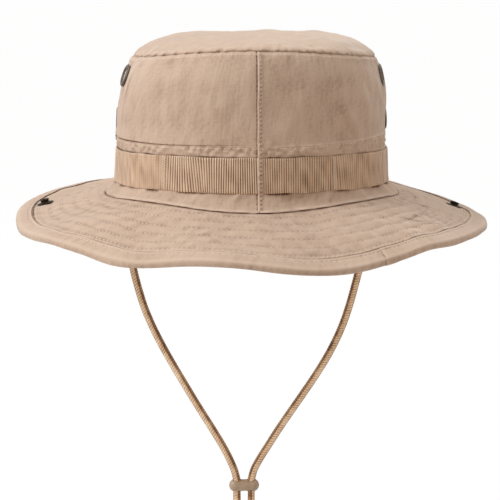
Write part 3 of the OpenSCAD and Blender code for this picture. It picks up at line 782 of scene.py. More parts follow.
# Height of the row that holds the sweatband: it falls towards the left side
def tuck_z(phi):
    right = ease(phi / (70 * DEG)) * bell(maximum(phi - 1.4, 0), 1.0)
    return 0.0387 + 0.0024 * bell(minimum(phi, 0), 45 * DEG) + 0.0008 * right


# How much the cloth above that row hangs over it: fully on the left, hardly on the right
def tuck_over(phi):
    return 0.55 - 0.45 * sin(phi + 20 * DEG)


# The webbing draws the cloth under it in by this much, and lets go over this height at its edges
BAND_SUNK = 0.0008
BAND_BLEND = 0.003
# Layers of soft relief, of gathers at the top seam and of tone
WALL_LAYERS = [(0.0005, 0.022, 11, 1.5), (0.00016, 0.0075, 12, 1.6), (0.00004, 0.003, 29, 1.4)]
GATHER_LAYERS = [(0.0003, 0.0055, 15), (0.00012, 0.0025, 19)]
WALL_TONE_LAYERS = [(0.05, 0.005, 33, 1.5), (0.05, 0.0016, 34)]
# Place of the front and back seams beside the middle, and the step of their stitches
SEAM_U = -0.001
SEAM_PITCH = 0.0026


# Distances on the wall: round, below and above the webbing, and above the sweatband's row
def wall_place(phi, z):
    return phi * CROWN_R, band_z(phi, 0) - z, z - band_z(phi, 1), z - tuck_z(phi)


# 1 under the webbing, easing to 0 at its edges
def under_band(low, high):
    return ease((BAND_BLEND / 2 - low) / BAND_BLEND) * ease((BAND_BLEND / 2 - high) / BAND_BLEND)


# How far the crown cloth stands out from its plain form
def wall_relief(phi, z):
    u, low, high, row = wall_place(phi, z)
    top = seam_h(phi) - z
    free = 1 - bell(maximum(0, maximum(low, high)), 0.0025)
    soft = layered(u, z, WALL_LAYERS)
    fine = 0.000045 * field(u - 0.12 * z, z, 0.0011, 13, 8.0) * (0.12 + bell(phi / DEG + 14, 10))
    for angle, height, half_w, half_h, rise, lean in CROWN_DENTS:
        du = (phi - angle) * CROWN_R - lean * (z - height)
        soft += rise * bell(du, half_w) * bell(z - height, half_h)
    for *ends, rise in SHOULDER_FOLDS:
        du, dz = from_fold(u, z, ends)
        soft += rise * exp(-maximum(-du, 0) / 0.007 - maximum(du, 0) / 0.0012) * bell(dz, 0.019)
    for *ends, deep in CROWN_CREASES:
        soft -= deep * crease_line(u, z, ends, CREASE_W)
        soft += 0.7 * deep * crease_line(u - 0.0022, z, ends, 3 * CREASE_W)
    pinch = 0.0
    for angle, height, rise in CROWN_PINCHES:
        du = (phi - angle) * CROWN_R
        pinch = pinch + rise * bell(du - 0.3 * (z - height), 0.0022) * bell(z - height, 0.0028)
    # Strip between the webbing and the sweatband's row, which swells and crinkles, and the lip over that row
    strip = clip(high / maximum(high - row, 0.001), 0, 1)
    swell = sin(pi * strip) ** 0.6
    pucker = field(u, 0.35 * z, 0.003, 14)
    over = tuck_over(phi)
    crinkle = field(u + 0.6 * z, z, 0.0026, 18) + 0.7 * field(u - 0.8 * z, 0.7 * z, 0.0036, 27)
    sewn = swell * (0.00036 + 0.00024 * pucker + 0.00038 * crinkle)
    sewn += over * 0.0008 * ease(row / 0.0007) * exp(-maximum(row, 0) / 0.0035)
    sewn += (1 - over) * 0.0006 * bell(row + 0.0002, 0.0007) - 0.00035 * over * bell(row, 0.0006)
    sewn += 0.0001 * pucker * bell(row - 0.003, 0.004)
    gather = layered(u, 0.4 * z, GATHER_LAYERS)
    edge = 0.00025 * bell(top - 0.0026, 0.0016) - 0.0007 * bell(top, 0.0008) + gather * bell(top, 0.006)
    foot = 0.00016 * field(u, 0.4 * z, 0.004, 16) * bell(z - joint_z(phi), 0.006)
    drawn = -0.0008 * bell(phi / DEG + 90, 30) * ease((z - 0.012) / 0.01) * (1 - bell(top, 0.01))
    for angle, height in VENTS.values():
        drawn = drawn * (1 - bell((abs(phi) - angle * DEG) * CROWN_R, 0.011) * bell(z - height, 0.011))
    drawn = drawn - BAND_SUNK * under_band(low, high)
    soft = (soft + fine) * free * (1 - bell(top, 0.004))
    return soft + sewn * maximum(free, swell) + edge + foot + pinch + drawn


# Painted shade and light on the crown walls: shadows where cloth goes under the webbing and under the lip,
# shade in the seams, lit slopes
def wall_tone(phi, z, relief):
    u, low, high, row = wall_place(phi, z)
    shadow_under_band = patchy(u, 0.35, 0.9, 0.012, 17)
    # Painted light: cloth that faces upward lighter, cloth that faces downward darker, raised cloth a little
    # lighter
    tone = 130 * (relief - wall_relief(phi, z + 0.0015)) + 24 * relief
    tone += layered(u, z, WALL_TONE_LAYERS)
    shadow_over_band = patchy(u, 0.42, 0.55, 0.009, 18, 0.05, 0.9)
    shadow_over_band = shadow_over_band * (1 - 0.5 * ease((phi / DEG - 8) / 10))
    # Painted shadows below the webbing's lower edge and above its top edge
    tone -= shadow_under_band * bell(low - 0.0003, 0.001) + shadow_over_band * bell(high - 0.0002, 0.0007)
    # Painted shadow under the cloth that hangs over the sweatband's row, and a painted highlight on the row
    # where none hangs over
    tone -= 1.1 * tuck_over(phi) * bell(row - 0.0001, 0.0004) * (0.4 + 0.6 * ease((-phi / DEG - 6) / 16))
    tone += 0.5 * (1 - tuck_over(phi)) * bell(row + 0.0001, 0.0005)
    # Painted shade in the grooves of the front and back seams, darker at the needle holes
    needle = 0.65 + 0.35 * cos(2 * pi * z / SEAM_PITCH)
    for middle in (0.0, -pi):
        tone -= needle * bell((phi - middle) * CROWN_R - SEAM_U + 0.0003, 0.0004)
    # Painted light on the broad side of each shoulder fold and painted shade on its steep side
    for *ends, rise in SHOULDER_FOLDS:
        du, dz = from_fold(u, z, ends)
        tone += 300 * rise * (bell(du + 0.002, 0.002) - bell(du - 0.0012, 0.001)) * bell(dz, 0.017)
    broken = patchy(u, 0.4, 0.4, 0.006, 28)
    return tone - broken * bell(seam_h(phi) - z, 0.0004)


# Columns of one wall, closest beside the seams and close round the front
def wall_columns(side):
    near = arange(0.0002, 0.0052, 0.0004) / CROWN_R
    front = arange(near[-1], 36 * DEG, 0.0007 / CROWN_R)
    middle = arange(front[-1], pi - near[-1], 0.0013 / CROWN_R)
    return np.sort(side * concatenate([near, front[1:], middle[1:], pi - near[::-1]]))


# Rows of the wall from the brim joint to the top seam, closest where the cloth turns sharply
def wall_heights(phi):
    low, high, tuck, seam = band_z(phi, 0), band_z(phi, 1), tuck_z(phi), seam_h(phi)
    stops = [(joint_z(phi) + 0.0025, 5), (low - 0.0018, 9), (low + 0.001, 7), (high - 0.0008, 9),
             (high + 0.0024, 5), (tuck - 0.0022, 16), (tuck + 0.0022, 36), (seam - 0.006, 14), (seam, 1)]
    rows = [joint_z(phi) + height for height in LIP_ROWS[:, 1]]
    for (start, count), (end, _) in zip(stops, stops[1:]):
        rows += [start + (end - start) * i / count for i in range(count)]
    return np.stack(rows + [seam])


# Cloth between these distances from a vent's middle moves onto the circle of its hole
HOLE_NEAR = 0.0045
HOLE_FAR = 0.0074
HOLE_RING = 0.0063
HOLE_REACH = 0.0068
for name, side in SIDES.items():
    columns = wall_columns(side)
    z = wall_heights(columns)
    phi = columns[None] + 0 * z
    relief = wall_relief(phi, z)
    tone = wall_tone(phi, z, relief)
    lip_share = 1 - 0.85 * ease((abs(columns) / DEG - 52) / 26)
    lip_share = lip_share * (0.8 + 0.2 * ring_field(columns, 0, 20, 60, 35))
    relief[:len(LIP_ROWS)] += LIP_ROWS[:, :1] * lip_share
    # Painted shadow under the lip and painted highlight on its crest
    tone[:len(LIP_ROWS)] += LIP_ROWS[:, 2:] * lip_share
    # The panels meet at the front and back seams: their edges turn under
    to_seam = CROWN_R * minimum(abs(phi), pi - abs(phi))
    relief = relief - 0.0006 * bell(to_seam, 0.0012) * (z > joint_z(phi) + 0.004)
    outer = oval(phi, wall_inset(phi, z) - relief, z)
    inner = oval(phi, wall_inset(phi, z) - relief + CROWN_T, z)
    keep = np.ones((z.shape[0] - 1, z.shape[1] - 1), bool)
    for angle, height in VENTS.values():
        centre = wall_seat(side * angle * DEG, height)[0]
        near = norm(outer - centre, axis=-1)
        keep &= 0.25 * (near[:-1, :-1] + near[1:, :-1] + near[:-1, 1:] + near[1:, 1:]) > VENT_HOLE_R
        ring = clip((HOLE_FAR - near) / 0.0006, 0, 1) * (near > HOLE_NEAR)
        for grid in (outer, inner):
            away = grid - centre
            reach = norm(away, axis=-1, keepdims=True)
            grid += ring[..., None] * away * (HOLE_RING / maximum(reach, 0.001) - 1) * (reach < HOLE_REACH)
    panel = shell_piece("crown_panel_" + name, outer, inner, CLOTH, weave_at(phi * CROWN_R, z), tone, keep)
    dress(panel, "hat", "cloth", "crown_side_" + name)

# Crown tip: dents are a place, a width and a rise in millimetres
TIP_DENTS = array([(-30, -45, 20, -1.0), (34, -30, 24, 1.0), (10, 40, 30, -1.2), (-45, 20, 22, 1.0),
                   (-34, 70, 22, -1.4), (28, 75, 18, 1.2)]) * MM
TIP_LAYERS = [(0.0005, 0.022, 21), (0.00016, 0.008, 22)]
TIP_TILT = 0.016
TIP_LIFT = 0.0011
phi = linspace(-pi, pi, 420, endpoint=False)[None]
share = concatenate([linspace(1, 0.86, 22), linspace(0.86, 0, 46)[1:]])[:, None]
rim = oval(phi, WALL_TAPER + shoulder_at(phi), 0 * phi)
tip_x = rim[..., 0] * share
tip_y = rim[..., 1] * share
tip_z = CROWN_H - (CROWN_H - seam_h(phi) - TIP_LIFT) * share ** DOME_POWER
from_edge = (1 - share) * norm(rim, axis=-1)
relief = layered(tip_x, tip_y, TIP_LAYERS)
for x, y, width, rise in TIP_DENTS:
    relief += rise * bell(hypot(tip_x - x, tip_y - y), width)
relief = relief * (1 - bell(from_edge, 0.005)) + TIP_TILT * tip_x * (1 - bell(from_edge, 0.012))
relief += 0.00022 * bell(from_edge - 0.0026, 0.0016) - 0.0006 * bell(from_edge, 0.0008)
relief += 0.00026 * ring_field(phi, from_edge, 50, 120, 23, 60) * bell(from_edge, 0.006)
tip_top = stack(tip_x, tip_y, tip_z + relief)
# Painted light and shade: raised cloth lighter, the whole top lighter, a dark line along the seam, and random
# tone
tone = 40 * relief + 0.16 - 0.35 * bell(from_edge, 0.0005) + 0.06 * field(tip_x, tip_y, 0.005, 24)
tip = shell_piece("crown_top", tip_top, tip_top - (0, 0, CROWN_T), CLOTH, weave_at(tip_x, tip_y), tone,
                  closed=True, merge=True)
dress(tip, "hat", "cloth", "crown_tip")

# Folded edge of the front and back seams: it lies over the wall and over the webbing
FOLD_SECTION = array([(0.4, -0.7), (0.1, -0.2), (0.1, 0.3), (0.3, 0.6), (0.8, 0.75), (1.3, 0.7),
                      (1.8, 0.58), (2.3, 0.4), (2.8, 0.5), (3.3, 0.4), (4.1, -0.4)]) * MM
SEAM_STITCH_U = 0.0023


# Height of the seam's fold over the wall: it climbs over the webbing
def seam_base(phi, z):
    over = under_band(*wall_place(phi, z)[1:3])
    return over * (BAND_STAND + BAND_T + 0.0003 - BAND_SUNK) + (1 - over) * 0.7 * wall_relief(phi, z)


# Straight out from the crown
def outward(phi, z):
    return oval(phi, -1.0, z) - oval(phi, 0.0, z)


crown_threads = []
across, rise = FOLD_SECTION.T[:, None]
for name, middle in (("front", 0.0), ("back", pi)):
    z = arange(joint_z(middle) + 0.0012, seam_h(middle) - 0.0002, 0.00052)[:, None]
    wander = 0.00022 * field(z, 0 * z, 0.012, 31)
    phi = middle + (SEAM_U + across + wander) / CROWN_R
    wrinkle = 0.00012 * field(z, across, 0.0022, 32) * (rise > 0)
    off = seam_base(phi, z) + rise + wrinkle
    lip = bell(z - joint_z(middle), 0.0024) * 0.0006
    grid = oval(phi, wall_inset(phi, z) - off - lip, z)
    hole = clip(-cos(2 * pi * (z - z[0]) / SEAM_PITCH), 0, 1)
    # Painted highlight along the fold's crest, painted shade in the groove where its edge turns under, and a
    # darker stitching line with needle holes
    tone = 0.45 * bell(across - 0.0007, 0.0005) - (0.25 + hole) * bell(across - SEAM_STITCH_U, 0.0005)
    tone = tone - 0.8 * (across < 0.0003) * (rise < 0.0001)
    faces = grid_faces(*grid.shape[:2])
    fold = make_piece("seam_fold_" + name, grid, faces, CLOTH, weave_at(across, z), tone)
    dress(fold, "hat", "cloth")
    z = z[:, 0]
    phi = middle + (SEAM_U + SEAM_STITCH_U + wander[:, 0]) / CROWN_R
    line = oval(phi, wall_inset(phi, z) - seam_base(phi, z) - 0.0006, z)
    crown_threads.append(stitch_row(line, outward(phi, z), SEAM_PITCH, 0.5, 0.0004))

# Sweatband inside the crown, cut away round the snaps
SWEAT_HOLE_R = 0.0068
phi = linspace(-pi, pi, 320, endpoint=False)[None]
t = linspace(0, 1, 26)[:, None]
z = joint_z(phi) + 0.0001 + t * (SWEATBAND_H - joint_z(phi))
inset = wall_inset(phi, maximum(z, FLARE_H)) + CROWN_T + 0.0002
relief = 0.00025 * ring_field(phi, z, 16, 44, 41, 30) * (1 - t) * t * 4
outer = oval(phi, inset, z)
inner = oval(phi, inset + SWEATBAND_T - relief, z)
keep = np.ones((z.shape[0] - 1, z.shape[1]), bool)
for side in SIDES.values():
    centre = wall_seat(side * CROWN_SNAP_ANGLE * DEG, CROWN_SNAP_Z)[0]
    gap = norm(outer - centre, axis=-1)
    keep &= (gap[:-1] > SWEAT_HOLE_R) & (gap[1:] > SWEAT_HOLE_R)
weave = weave_at(phi * CROWN_R, z)
# Its tone is painted light and shade from the relief: ridges lighter, hollows darker
sweatband = shell_piece("sweatband_tape", outer, inner, LINING, weave, 500 * relief, keep, True)
dress(sweatband, "hat", "lining", "sweatband")

# Webbing band with woven ribs, standing off the crown between its tacks
RIB_PITCH = 0.0015
RIB_SPREAD = 0.35
RIB_SPREAD_AT = 0.05
RIB_H = 0.00045
RIB_STEP = 0.00025
# Depth of the painted shade between the ribs and painted highlight on them, less on the right where the ribs
# are pulled flatter
RIB_PAINTED_SHADE = {"left": 2.2, "right": 1.4}
BAND_ROWS = array([0, 0.012, 0.03, 0.06, 0.12, 0.2, 0.3, 0.4, 0.5, 0.6, 0.7, 0.8, 0.88, 0.94, 0.97, 0.988, 1])
BAND_END = 0.0004
BAND_ROUND = 0.035
TACK_STEPS = linspace(0.03, 0.97, 27)
TACK_SWING = 0.0011
TACK_CLEAR = 0.1


def band_stand(phi):
    return BAND_STAND + BAND_SLACK * sin((phi - BAND_TURN) * BAND_LOOPS) ** 2


# Height of the webbing's face over the wall's plain form
def band_face(phi, share):
    edge = minimum(share, 1 - share)
    round_off = 0.0006 * clip(1 - edge / BAND_ROUND, 0, 1) ** 2
    u = phi * CROWN_R
    sag = 0.00024 * field(u, share * BAND_W, 0.014, 51, 3.0)
    sag = sag + 0.00016 * field(u, 0 * share, 0.01, 55) * (1 - share) ** 2
    tacked = 1 - bell(sin((phi - BAND_TURN) * BAND_LOOPS), 0.25)
    return band_stand(phi) + BAND_T - round_off + sag * tacked - BAND_SUNK


band_threads = []
share = BAND_ROWS[:, None]
edge = minimum(share, 1 - share)
knit = clip(1 - edge / 0.05, 0, 1)
for name, side in SIDES.items():
    phi = np.sort(side * arange(BAND_END / CROWN_R, pi - BAND_END / CROWN_R, RIB_STEP / CROWN_R))[None]
    u = phi * CROWN_R
    off = abs(phi) / DEG
    # The ribs lean to and fro, and are pulled flat beside the front
    lean = 0.06 * field(u, 0 * u, 0.022, 52)
    fan = 0.1 * side * bell(off - 30, 7) * sin(0.9 * (off - 30) * DEG * 9)
    run = (1 - RIB_SPREAD) * u + RIB_SPREAD * RIB_SPREAD_AT * np.tanh(u / RIB_SPREAD_AT)
    rib = abs(sin(pi * (run + (lean + fan) * (share - 0.5) * BAND_W) / RIB_PITCH))
    if side < 0:
        flat = 0.85 * ease((off - 33) / 12)
    else:
        flat = 0.4 * ease((off - 30) / 8) + 0.48 * ease((off - 46) / 9)
    crisp = 1 - flat * (1 - ease((off - 74) / 14))
    wave = 0.00016 * field(u, 0 * u, 0.012, 53) + 0.00016 * rib
    z = band_z(phi, share) + wave * (share - 0.5) * 2
    face = band_face(phi, share) + RIB_H * (rib - 0.65) * crisp * (1 - 0.4 * knit)
    outer = oval(phi, wall_inset(phi, z) - face, z)
    back = band_stand(phi) - BAND_SUNK + 0.0002 * clip(1 - edge / BAND_ROUND, 0, 1)
    inner = oval(phi, wall_inset(phi, z) - back, z)
    # Painted shade in the grooves between ribs and painted highlights on their crests, more near the edges,
    # with random tone
    tone = crisp * RIB_PAINTED_SHADE[name] * (rib - 0.63) + 0.5 * knit * (rib - 0.3)
    tone += 0.12 * field(u, z, 0.003, 54, 3.0)
    band = shell_piece("webbing_" + name, outer, inner, WEBBING, weave_at(u, z), tone)
    dress(band, "hat", "webbing", "webbing_band_" + name)
    # Zigzag tacks
    for i in range(-6, 7):
        angle = BAND_TURN + i * pi / BAND_LOOPS
        if side * angle < TACK_CLEAR or side * angle > pi - TACK_CLEAR:
            continue
        at = angle + TACK_SWING * np.where(arange(len(TACK_STEPS)) % 2, 1, -1) / CROWN_R
        z = band_z(at, TACK_STEPS)
        line = oval(at, wall_inset(at, z) - band_face(at, TACK_STEPS) - 0.0002, z)
        out = unit(outward(at, z))
        band_threads.append(thread_mesh(line[:-1], line[1:], out[:-1], 0.00055, 0.0002))

# Brim: rows of stitching in from the joint, and a mean radius for distances round it
BRIM_ROWS = [0.0053, 0.013, 0.0213, 0.0295, 0.0377, 0.045]
BRIM_R = 0.135
BRIM_LAYERS = [(0.0003, 0.018, 61), (0.0001, 0.008, 62)]
PUCKER_LAYERS = [(0.00003, 0.0034, 63), (0.00004, 0.006, 64)]
# Patches of creases: an angle, a distance out, a size round, a size out and a strength
BRIM_CREASES = array([
    (72, 30, 30, 20, 0.16), (-70, 30, 28, 20, 0.12), (40, 36, 20, 16, 0.14), (-20, 30, 30, 24, 0.12),
    (150, 30, 35, 20, 0.25), (-150, 30, 35, 20, 0.25)]) * (1, MM, MM, MM, MM)
# Sharp creases: two ends, each an angle and a distance out, and a depth
BRIM_LINES = array([
    (98, 10, 76, 12, 0.5), (67, 14.7, 70, 19.2, 0.5), (67.5, 19, 70.5, 25, 0.5), (45, 25, 48.5, 29.5, 0.4),
    (48, 32.5, 52.5, 35.5, 0.5), (52, 38, 55, 42, 0.5), (53, 28, 67.5, 23.5, 0.6), (56, 33.5, 65, 32, 0.6),
    (48, 30.5, 54.5, 26.5, 0.5), (54.5, 43, 67, 40, 0.5), (43.5, 17.5, 51.5, 17.5, 0.3),
    (54, 11, 76, 4.5, 0.3), (-85.5, 30.5, -82, 20.5, 0.3), (-65.5, 29, -64.5, 19.5, 0.3),
    (-75, 41, -73.5, 29.5, 0.3), (-70.5, 9.5, -56, 14, 0.3), (128, 20, 150, 24, 0.5),
    (-130, 24, -148, 30, 0.5)])
BRIM_LINES = BRIM_LINES * (DEG * BRIM_R, MM, DEG * BRIM_R, MM, MM)


# Distance round the brim from an angle
def round_brim(phi, angle=0):
    return turned_from(phi, angle) * DEG * BRIM_R


def brim_relief(phi, share):
    r = share * BRIM_W
    p = oval(phi, -FLARE_OUT - BRIM_W * share, 0 * phi)
    x, y = p[..., 0], p[..., 1]
    relief = layered(x, y, BRIM_LAYERS)
    pucker = layered(x, y, PUCKER_LAYERS)
    puff = 1 + 1.6 * bell(turned_from(phi, 50), 30)
    furrow = 0.0
    for i, row in enumerate(BRIM_ROWS):
        tug = clip(1 + 0.2 * ring_field(phi, 0 * r, 30, 90, 160 + i), 0.1, 2)
        furrow = furrow - 0.00016 * tug * bell(r - row, 0.0006) - 0.00014 * puff * bell(r - row, 0.002)
    crease = 0.0
    for angle, out, wide, deep, rise in BRIM_CREASES:
        patch = rise * bell(round_brim(phi, angle), wide) * bell(r - out, deep)
        crease = crease + patch * field(x + 0.5 * y, y, 0.0045, 65 + int(abs(angle)))
    u = round_brim(phi)
    for *ends, deep in BRIM_LINES:
        crease = crease - 1.5 * deep * crease_line(u, r, ends, CREASE_W)
        crease = crease + 0.9 * deep * crease_line(u, r - 0.002, ends, 3 * CREASE_W)
    snap = 0.0
    for side in SIDES.values():
        centre = brim_point(side * SNAP_ANGLE * DEG, SNAP_SHARE)
        dx, dy = x - centre[0], y - centre[1]
        away = hypot(dx, dy)
        star = cos(7 * np.arctan2(dy, dx) + 1.2 * side)
        snap = snap - 0.0005 * bell(away, 0.007) + 0.00022 * star * bell(away - 0.01, 0.0035)
    held = (1 - bell(maximum(0, r), 0.002)) * ease((BRIM_W - r) / 0.018)
    return (relief + pucker + crease) * held + furrow * (r > 0.001) + snap


# Rows across the brim, closest at the stitching
FURROW_CLEAR = 0.0019
FURROW_STEPS = (-0.0016, -0.0009, -0.0005, 0.0, 0.0005, 0.0009, 0.0016)
BIND_EDGE = 0.0483
# Strength of the painted shadow along the hem's inner edge at each angle: faint where the tape lies flat at
# the front left, full where it stands at the back
HEM_SHADOW = [(-180, 1.0), (-84, 1.0), (-70, 0.4), (-20, 0.22), (8, 0.25), (20, 0.85), (60, 0.8), (70, 0.3),
            (86, 0.2), (93, 1.0), (180, 1.0)]


def hem_shadow(phi):
    return np.interp(turned_from(phi, 0), *array(HEM_SHADOW).T)


sewn_rows = array(BRIM_ROWS + [BIND_EDGE])
plain_rows = linspace(0, BRIM_W, 54)
plain_rows = plain_rows[abs(plain_rows[:, None] - sewn_rows).min(axis=1) > FURROW_CLEAR]
furrow_rows = (sewn_rows[:, None] + FURROW_STEPS).ravel()
across_rows = np.sort(concatenate([plain_rows, furrow_rows]))[::-1]
HALF_COLS = 380
phi = linspace(0, 2 * pi, 2 * HALF_COLS, endpoint=False)[None]
share = concatenate([across_rows / BRIM_W, [-0.03, -0.08, -LEDGE / BRIM_W]])[:, None]
out = share * BRIM_W
relief = brim_relief(phi, share)
brim_top = brim_point(phi, share, relief)
under_relief = 0.6 * relief - 0.00012 * ring_field(phi, share, 60, 160, 66, 4)
brim_low = brim_point(phi, share, under_relief - BRIM_T)
top_normals = grid_normals(brim_top)
low_normals = -grid_normals(brim_low)
x, y = brim_top[..., 0], brim_top[..., 1]
brim_weave = weave_at(x, y)
# Painted light and shade on the brim: raised cloth lighter, painted shade in the sharp creases, and random
# tone
brim_tone = 36 * relief + 0.06 * field(x, y, 0.005, 67) + 0.03 * field(x, y, 0.0024, 68)
for *ends, deep in BRIM_LINES:
    brim_tone -= 600 * deep * crease_line(round_brim(phi), out, ends, 2 * CREASE_W)
# Painted shade in the stitch furrows, stronger on the left
furrow_shade = 1 + 0.7 * bell((phi / DEG - 295) % 360, 28) + 0.7 * bell((295 - phi / DEG) % 360, 28)
for row in BRIM_ROWS:
    brim_tone -= furrow_shade * (0.16 * bell(out - row, 0.0005) + 0.12 * bell(out - row, 0.0012))
# Painted shade in the joint with the crown, and the painted shadow along the hem's inner edge
brim_tone -= bell(out, 0.0008) + hem_shadow(phi) * bell(out - BIND_EDGE, 0.0007)


# Columns of one half of a ring that starts at the front
def half(data, side):
    cols = data.shape[1]
    start = 0 if side > 0 else cols // 2
    return data[:, arange(start, start + cols // 2 + 1) % cols]


def set_normals(piece, normals):
    piece.data.normals_split_custom_set_from_vertices(normals.reshape(-1, 3).tolist())


# Bake a brim piece's place into its mesh and hide the nodes that it stands for
def fold_blend(piece, name, side, slot, *nodes):
    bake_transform(piece)
    label(piece, slot, *nodes)


for name, side in SIDES.items():
    piece = shell_piece("brim_cloth_" + name, half(brim_top, side), half(brim_low, side), CLOTH,
                        half(brim_weave, side), half(brim_tone, side))
    set_normals(piece, concatenate([half(top_normals, side), half(low_normals, side)]))
    plies = ("brim_upper", "brim_interlining", "brim_under")
    fold_blend(piece, name, side, "cloth", *[node for ply in plies for node in (ply, ply + "_" + name)])

# Binding tape folded round the edge: distance in from the cloth edge, and height over the upper cloth
BINDING_SECTION = array([
    (9.4, 0.05), (10.0, 0.2), (10.2, 0.4), (10.1, 0.6), (9.7, 0.8), (9.0, 0.8), (8.5, 0.7), (8.1, 0.5),
    (7.6, 0.8), (6.6, 1.0), (5.0, 1.1), (3.0, 1.1), (1.4, 1.0), (0.6, 0.85), (0.1, 0.6), (-0.2, 0.2),
    (-0.4, -0.4), (-0.5, -1.3), (-0.4, -2.3), (-0.1, -2.9), (0.6, -3.3), (2.2, -3.6), (5.0, -3.7),
    (7.6, -3.6), (8.2, -3.4), (8.9, -3.6), (9.6, -3.5), (10.1, -3.3), (10.2, -2.9), (10.0, -2.6),
    (9.4, -2.45)]) * MM
LAP_ANGLE = 28.3
BIND_STITCH = 0.0081
BIND_COLS = 520
BIND_R = 0.165
HEM_IN = 0.0123
STITCH_PITCH = 0.0032
phi = linspace(0, 2 * pi, 2 * BIND_COLS, endpoint=False)[None]
bind_in, bind_up = BINDING_SECTION.T[..., None]
share = 1 - bind_in / BRIM_W
from_mid = bind_up + BRIM_T / 2
u = phi * BIND_R
pull = 0.00004 * ring_field(phi, bind_in, 110, 260, 71, 300) * bell(bind_in - 0.008, 0.003)
swell = 0.00016 * ring_field(phi, bind_in, 10, 30, 72)
lap_gap = (phi / DEG - LAP_ANGLE) * DEG * BIND_R - 0.2 * (bind_in - 0.005)
lap = 0.00035 * clip((lap_gap + 0.0003) / 0.0006, 0, 1) * clip((0.011 - lap_gap) / 0.004, 0, 1)
lift = brim_relief(phi, minimum(share, 1.0)) * 0.8 + np.sign(from_mid) * (pull + 0.5 * swell + lap)
nose = bell(bind_in + 0.0005, 0.0012) * swell * 0.6
bind_grid = brim_point(phi, share, bind_up + lift) + unit(outward(phi, 0.0)) * nose[..., None]
bind_normals = -grid_normals(bind_grid)
run = run_of(BINDING_SECTION)[:, None]
bind_weave = weave_at(0.7 * u + 0.7 * run, 0.7 * u - 0.7 * run)
dotted = 0.7 + 0.3 * cos(2 * pi * u / STITCH_PITCH)
show = hem_shadow(phi)
# Painted light and shade on the tape: puffed cloth lighter, with random tone; painted shade along the
# stitching, darker at the needle holes
bind_tone = clip(500 * (pull + 0.3 * swell), -0.4, 0.4) + 0.05 * ring_field(phi, run, 90, 260, 73, 500)
bind_tone -= 0.75 * dotted * show * bell(bind_in - BIND_STITCH, 0.0005)
# Painted highlights on the folded inner edge and on the outer corner, painted shade on the edge's face, a
# painted highlight and shadow at the lap, and a painted shadow under the inner edge
painted_edge_highlights = 0.45 * bell(bind_in - 0.0094, 0.0007) + 0.3 * bell(bind_in - 0.001, 0.0012)
bind_tone += (bind_up > 0.0003) * painted_edge_highlights
bind_tone -= 0.14 * bell(bind_up + 0.0015, 0.0012)
bind_tone += 0.35 * bell(lap_gap - 0.0012, 0.001) - 0.6 * bell(lap_gap + 0.0003, 0.0005)
bind_tone -= show * bell(bind_in - 0.0101, 0.0003) * (abs(from_mid) < 0.0021)
for name, side in SIDES.items():
    grid = half(bind_grid, side)
    faces = grid_faces(*grid.shape[:2])[:, ::-1]
    piece = make_piece("edge_tape_" + name, grid, faces, BINDING, half(bind_weave, side),
                       half(bind_tone, side))
    set_normals(piece, half(bind_normals, side))
    fold_blend(piece, name, side, "binding", "edge_binding", "edge_binding_" + name)

# Stitching of the brim: a share out, then for each face its way, how far it follows the relief and its height
BRIM_STITCHES = [(row / BRIM_W, (1, 1.0, 0.0), (-1, 0.6, -BRIM_T)) for row in BRIM_ROWS]
BRIM_STITCHES += [(1 - BIND_STITCH / BRIM_W, (1, 0.8, 0.0005), (-1, 0.8, -0.0034)),
                  (1 - HEM_IN / BRIM_W, (1, 0.8, 0.0), (-1, 0.8, -BRIM_T))]
for name, side in SIDES.items():
    rows = []
    phi = side * linspace(0.002, pi - 0.002, 700)
    for out, *faces in BRIM_STITCHES:
        share = np.full_like(phi, out)
        relief = brim_relief(phi, share)
        for way, follow, dz in faces:
            line = brim_point(phi, share, follow * relief + dz)
            rows.append(stitch_row(line, np.tile([0.0, 0.0, way], (len(phi), 1)), STITCH_PITCH))
    piece = thread_piece("brim_stitches_" + name, rows)
    fold_blend(piece, name, side, "cloth")

# Stitching of the crown: top seam, sweatband row and the seams made above
phi = linspace(-pi, pi, 900)
for z, pitch in ((seam_h(phi) - 0.0022, 0.0028), (tuck_z(phi) - 0.0016, 0.003)):
    line = oval(phi, wall_inset(phi, z) - wall_relief(phi, z), z)
    crown_threads.append(stitch_row(line, unit(outward(phi, 0.0)), pitch, 0.68, 0.00045))
dress(thread_piece("crown_stitches", crown_threads), "hat", "cloth")
dress(thread_piece("webbing_tacks", band_threads), "hat", "webbing")

# Vents: the turned rims and washers stay, and woven wire takes the place of the flat screens
WIRE_PITCH = 0.0011
WIRE_R = 0.00022
WIRE_WAVE = 0.00024
WIRE_STEP = 0.0003
WIRE_SIDES = 6
turn = turn_steps(WIRE_SIDES)
strands = []
for i in range(-4, 5):
    reach = math.sqrt(max(0, (VENT_BORE / 2) ** 2 - (i * WIRE_PITCH) ** 2))
    s = linspace(-reach, reach, max(5, int(2 * reach / WIRE_STEP)))[:, None]
    beside = i * WIRE_PITCH + WIRE_R * cos(turn)
    for flip in (0, 1):
        up = WIRE_WAVE * cos(pi * (s / WIRE_PITCH + i + flip)) + WIRE_R * sin(turn)
        strand = stack(beside, s, up) if flip else stack(s, beside, up)
        strands.append((strand.reshape(-1, 3), grid_faces(len(s), WIRE_SIDES, True)))
points, faces = joined(strands)
for height, (angle, z) in VENTS.items():
    for name, side in SIDES.items():
        end = height + "_" + name
        for part in ("vent_rim_", "vent_washer_"):
            finish_node(part + end, VENT_METAL)
        centre, normal = wall_seat(side * angle * DEG, z)
        seated = points @ upright_to(normal) + centre - normal * CROWN_T * 0.3
        screen = make_piece("vent_mesh_" + end, seated, faces, WIRE)
        dress(screen, "hat", "screen_wire", "vent_screen_" + end)

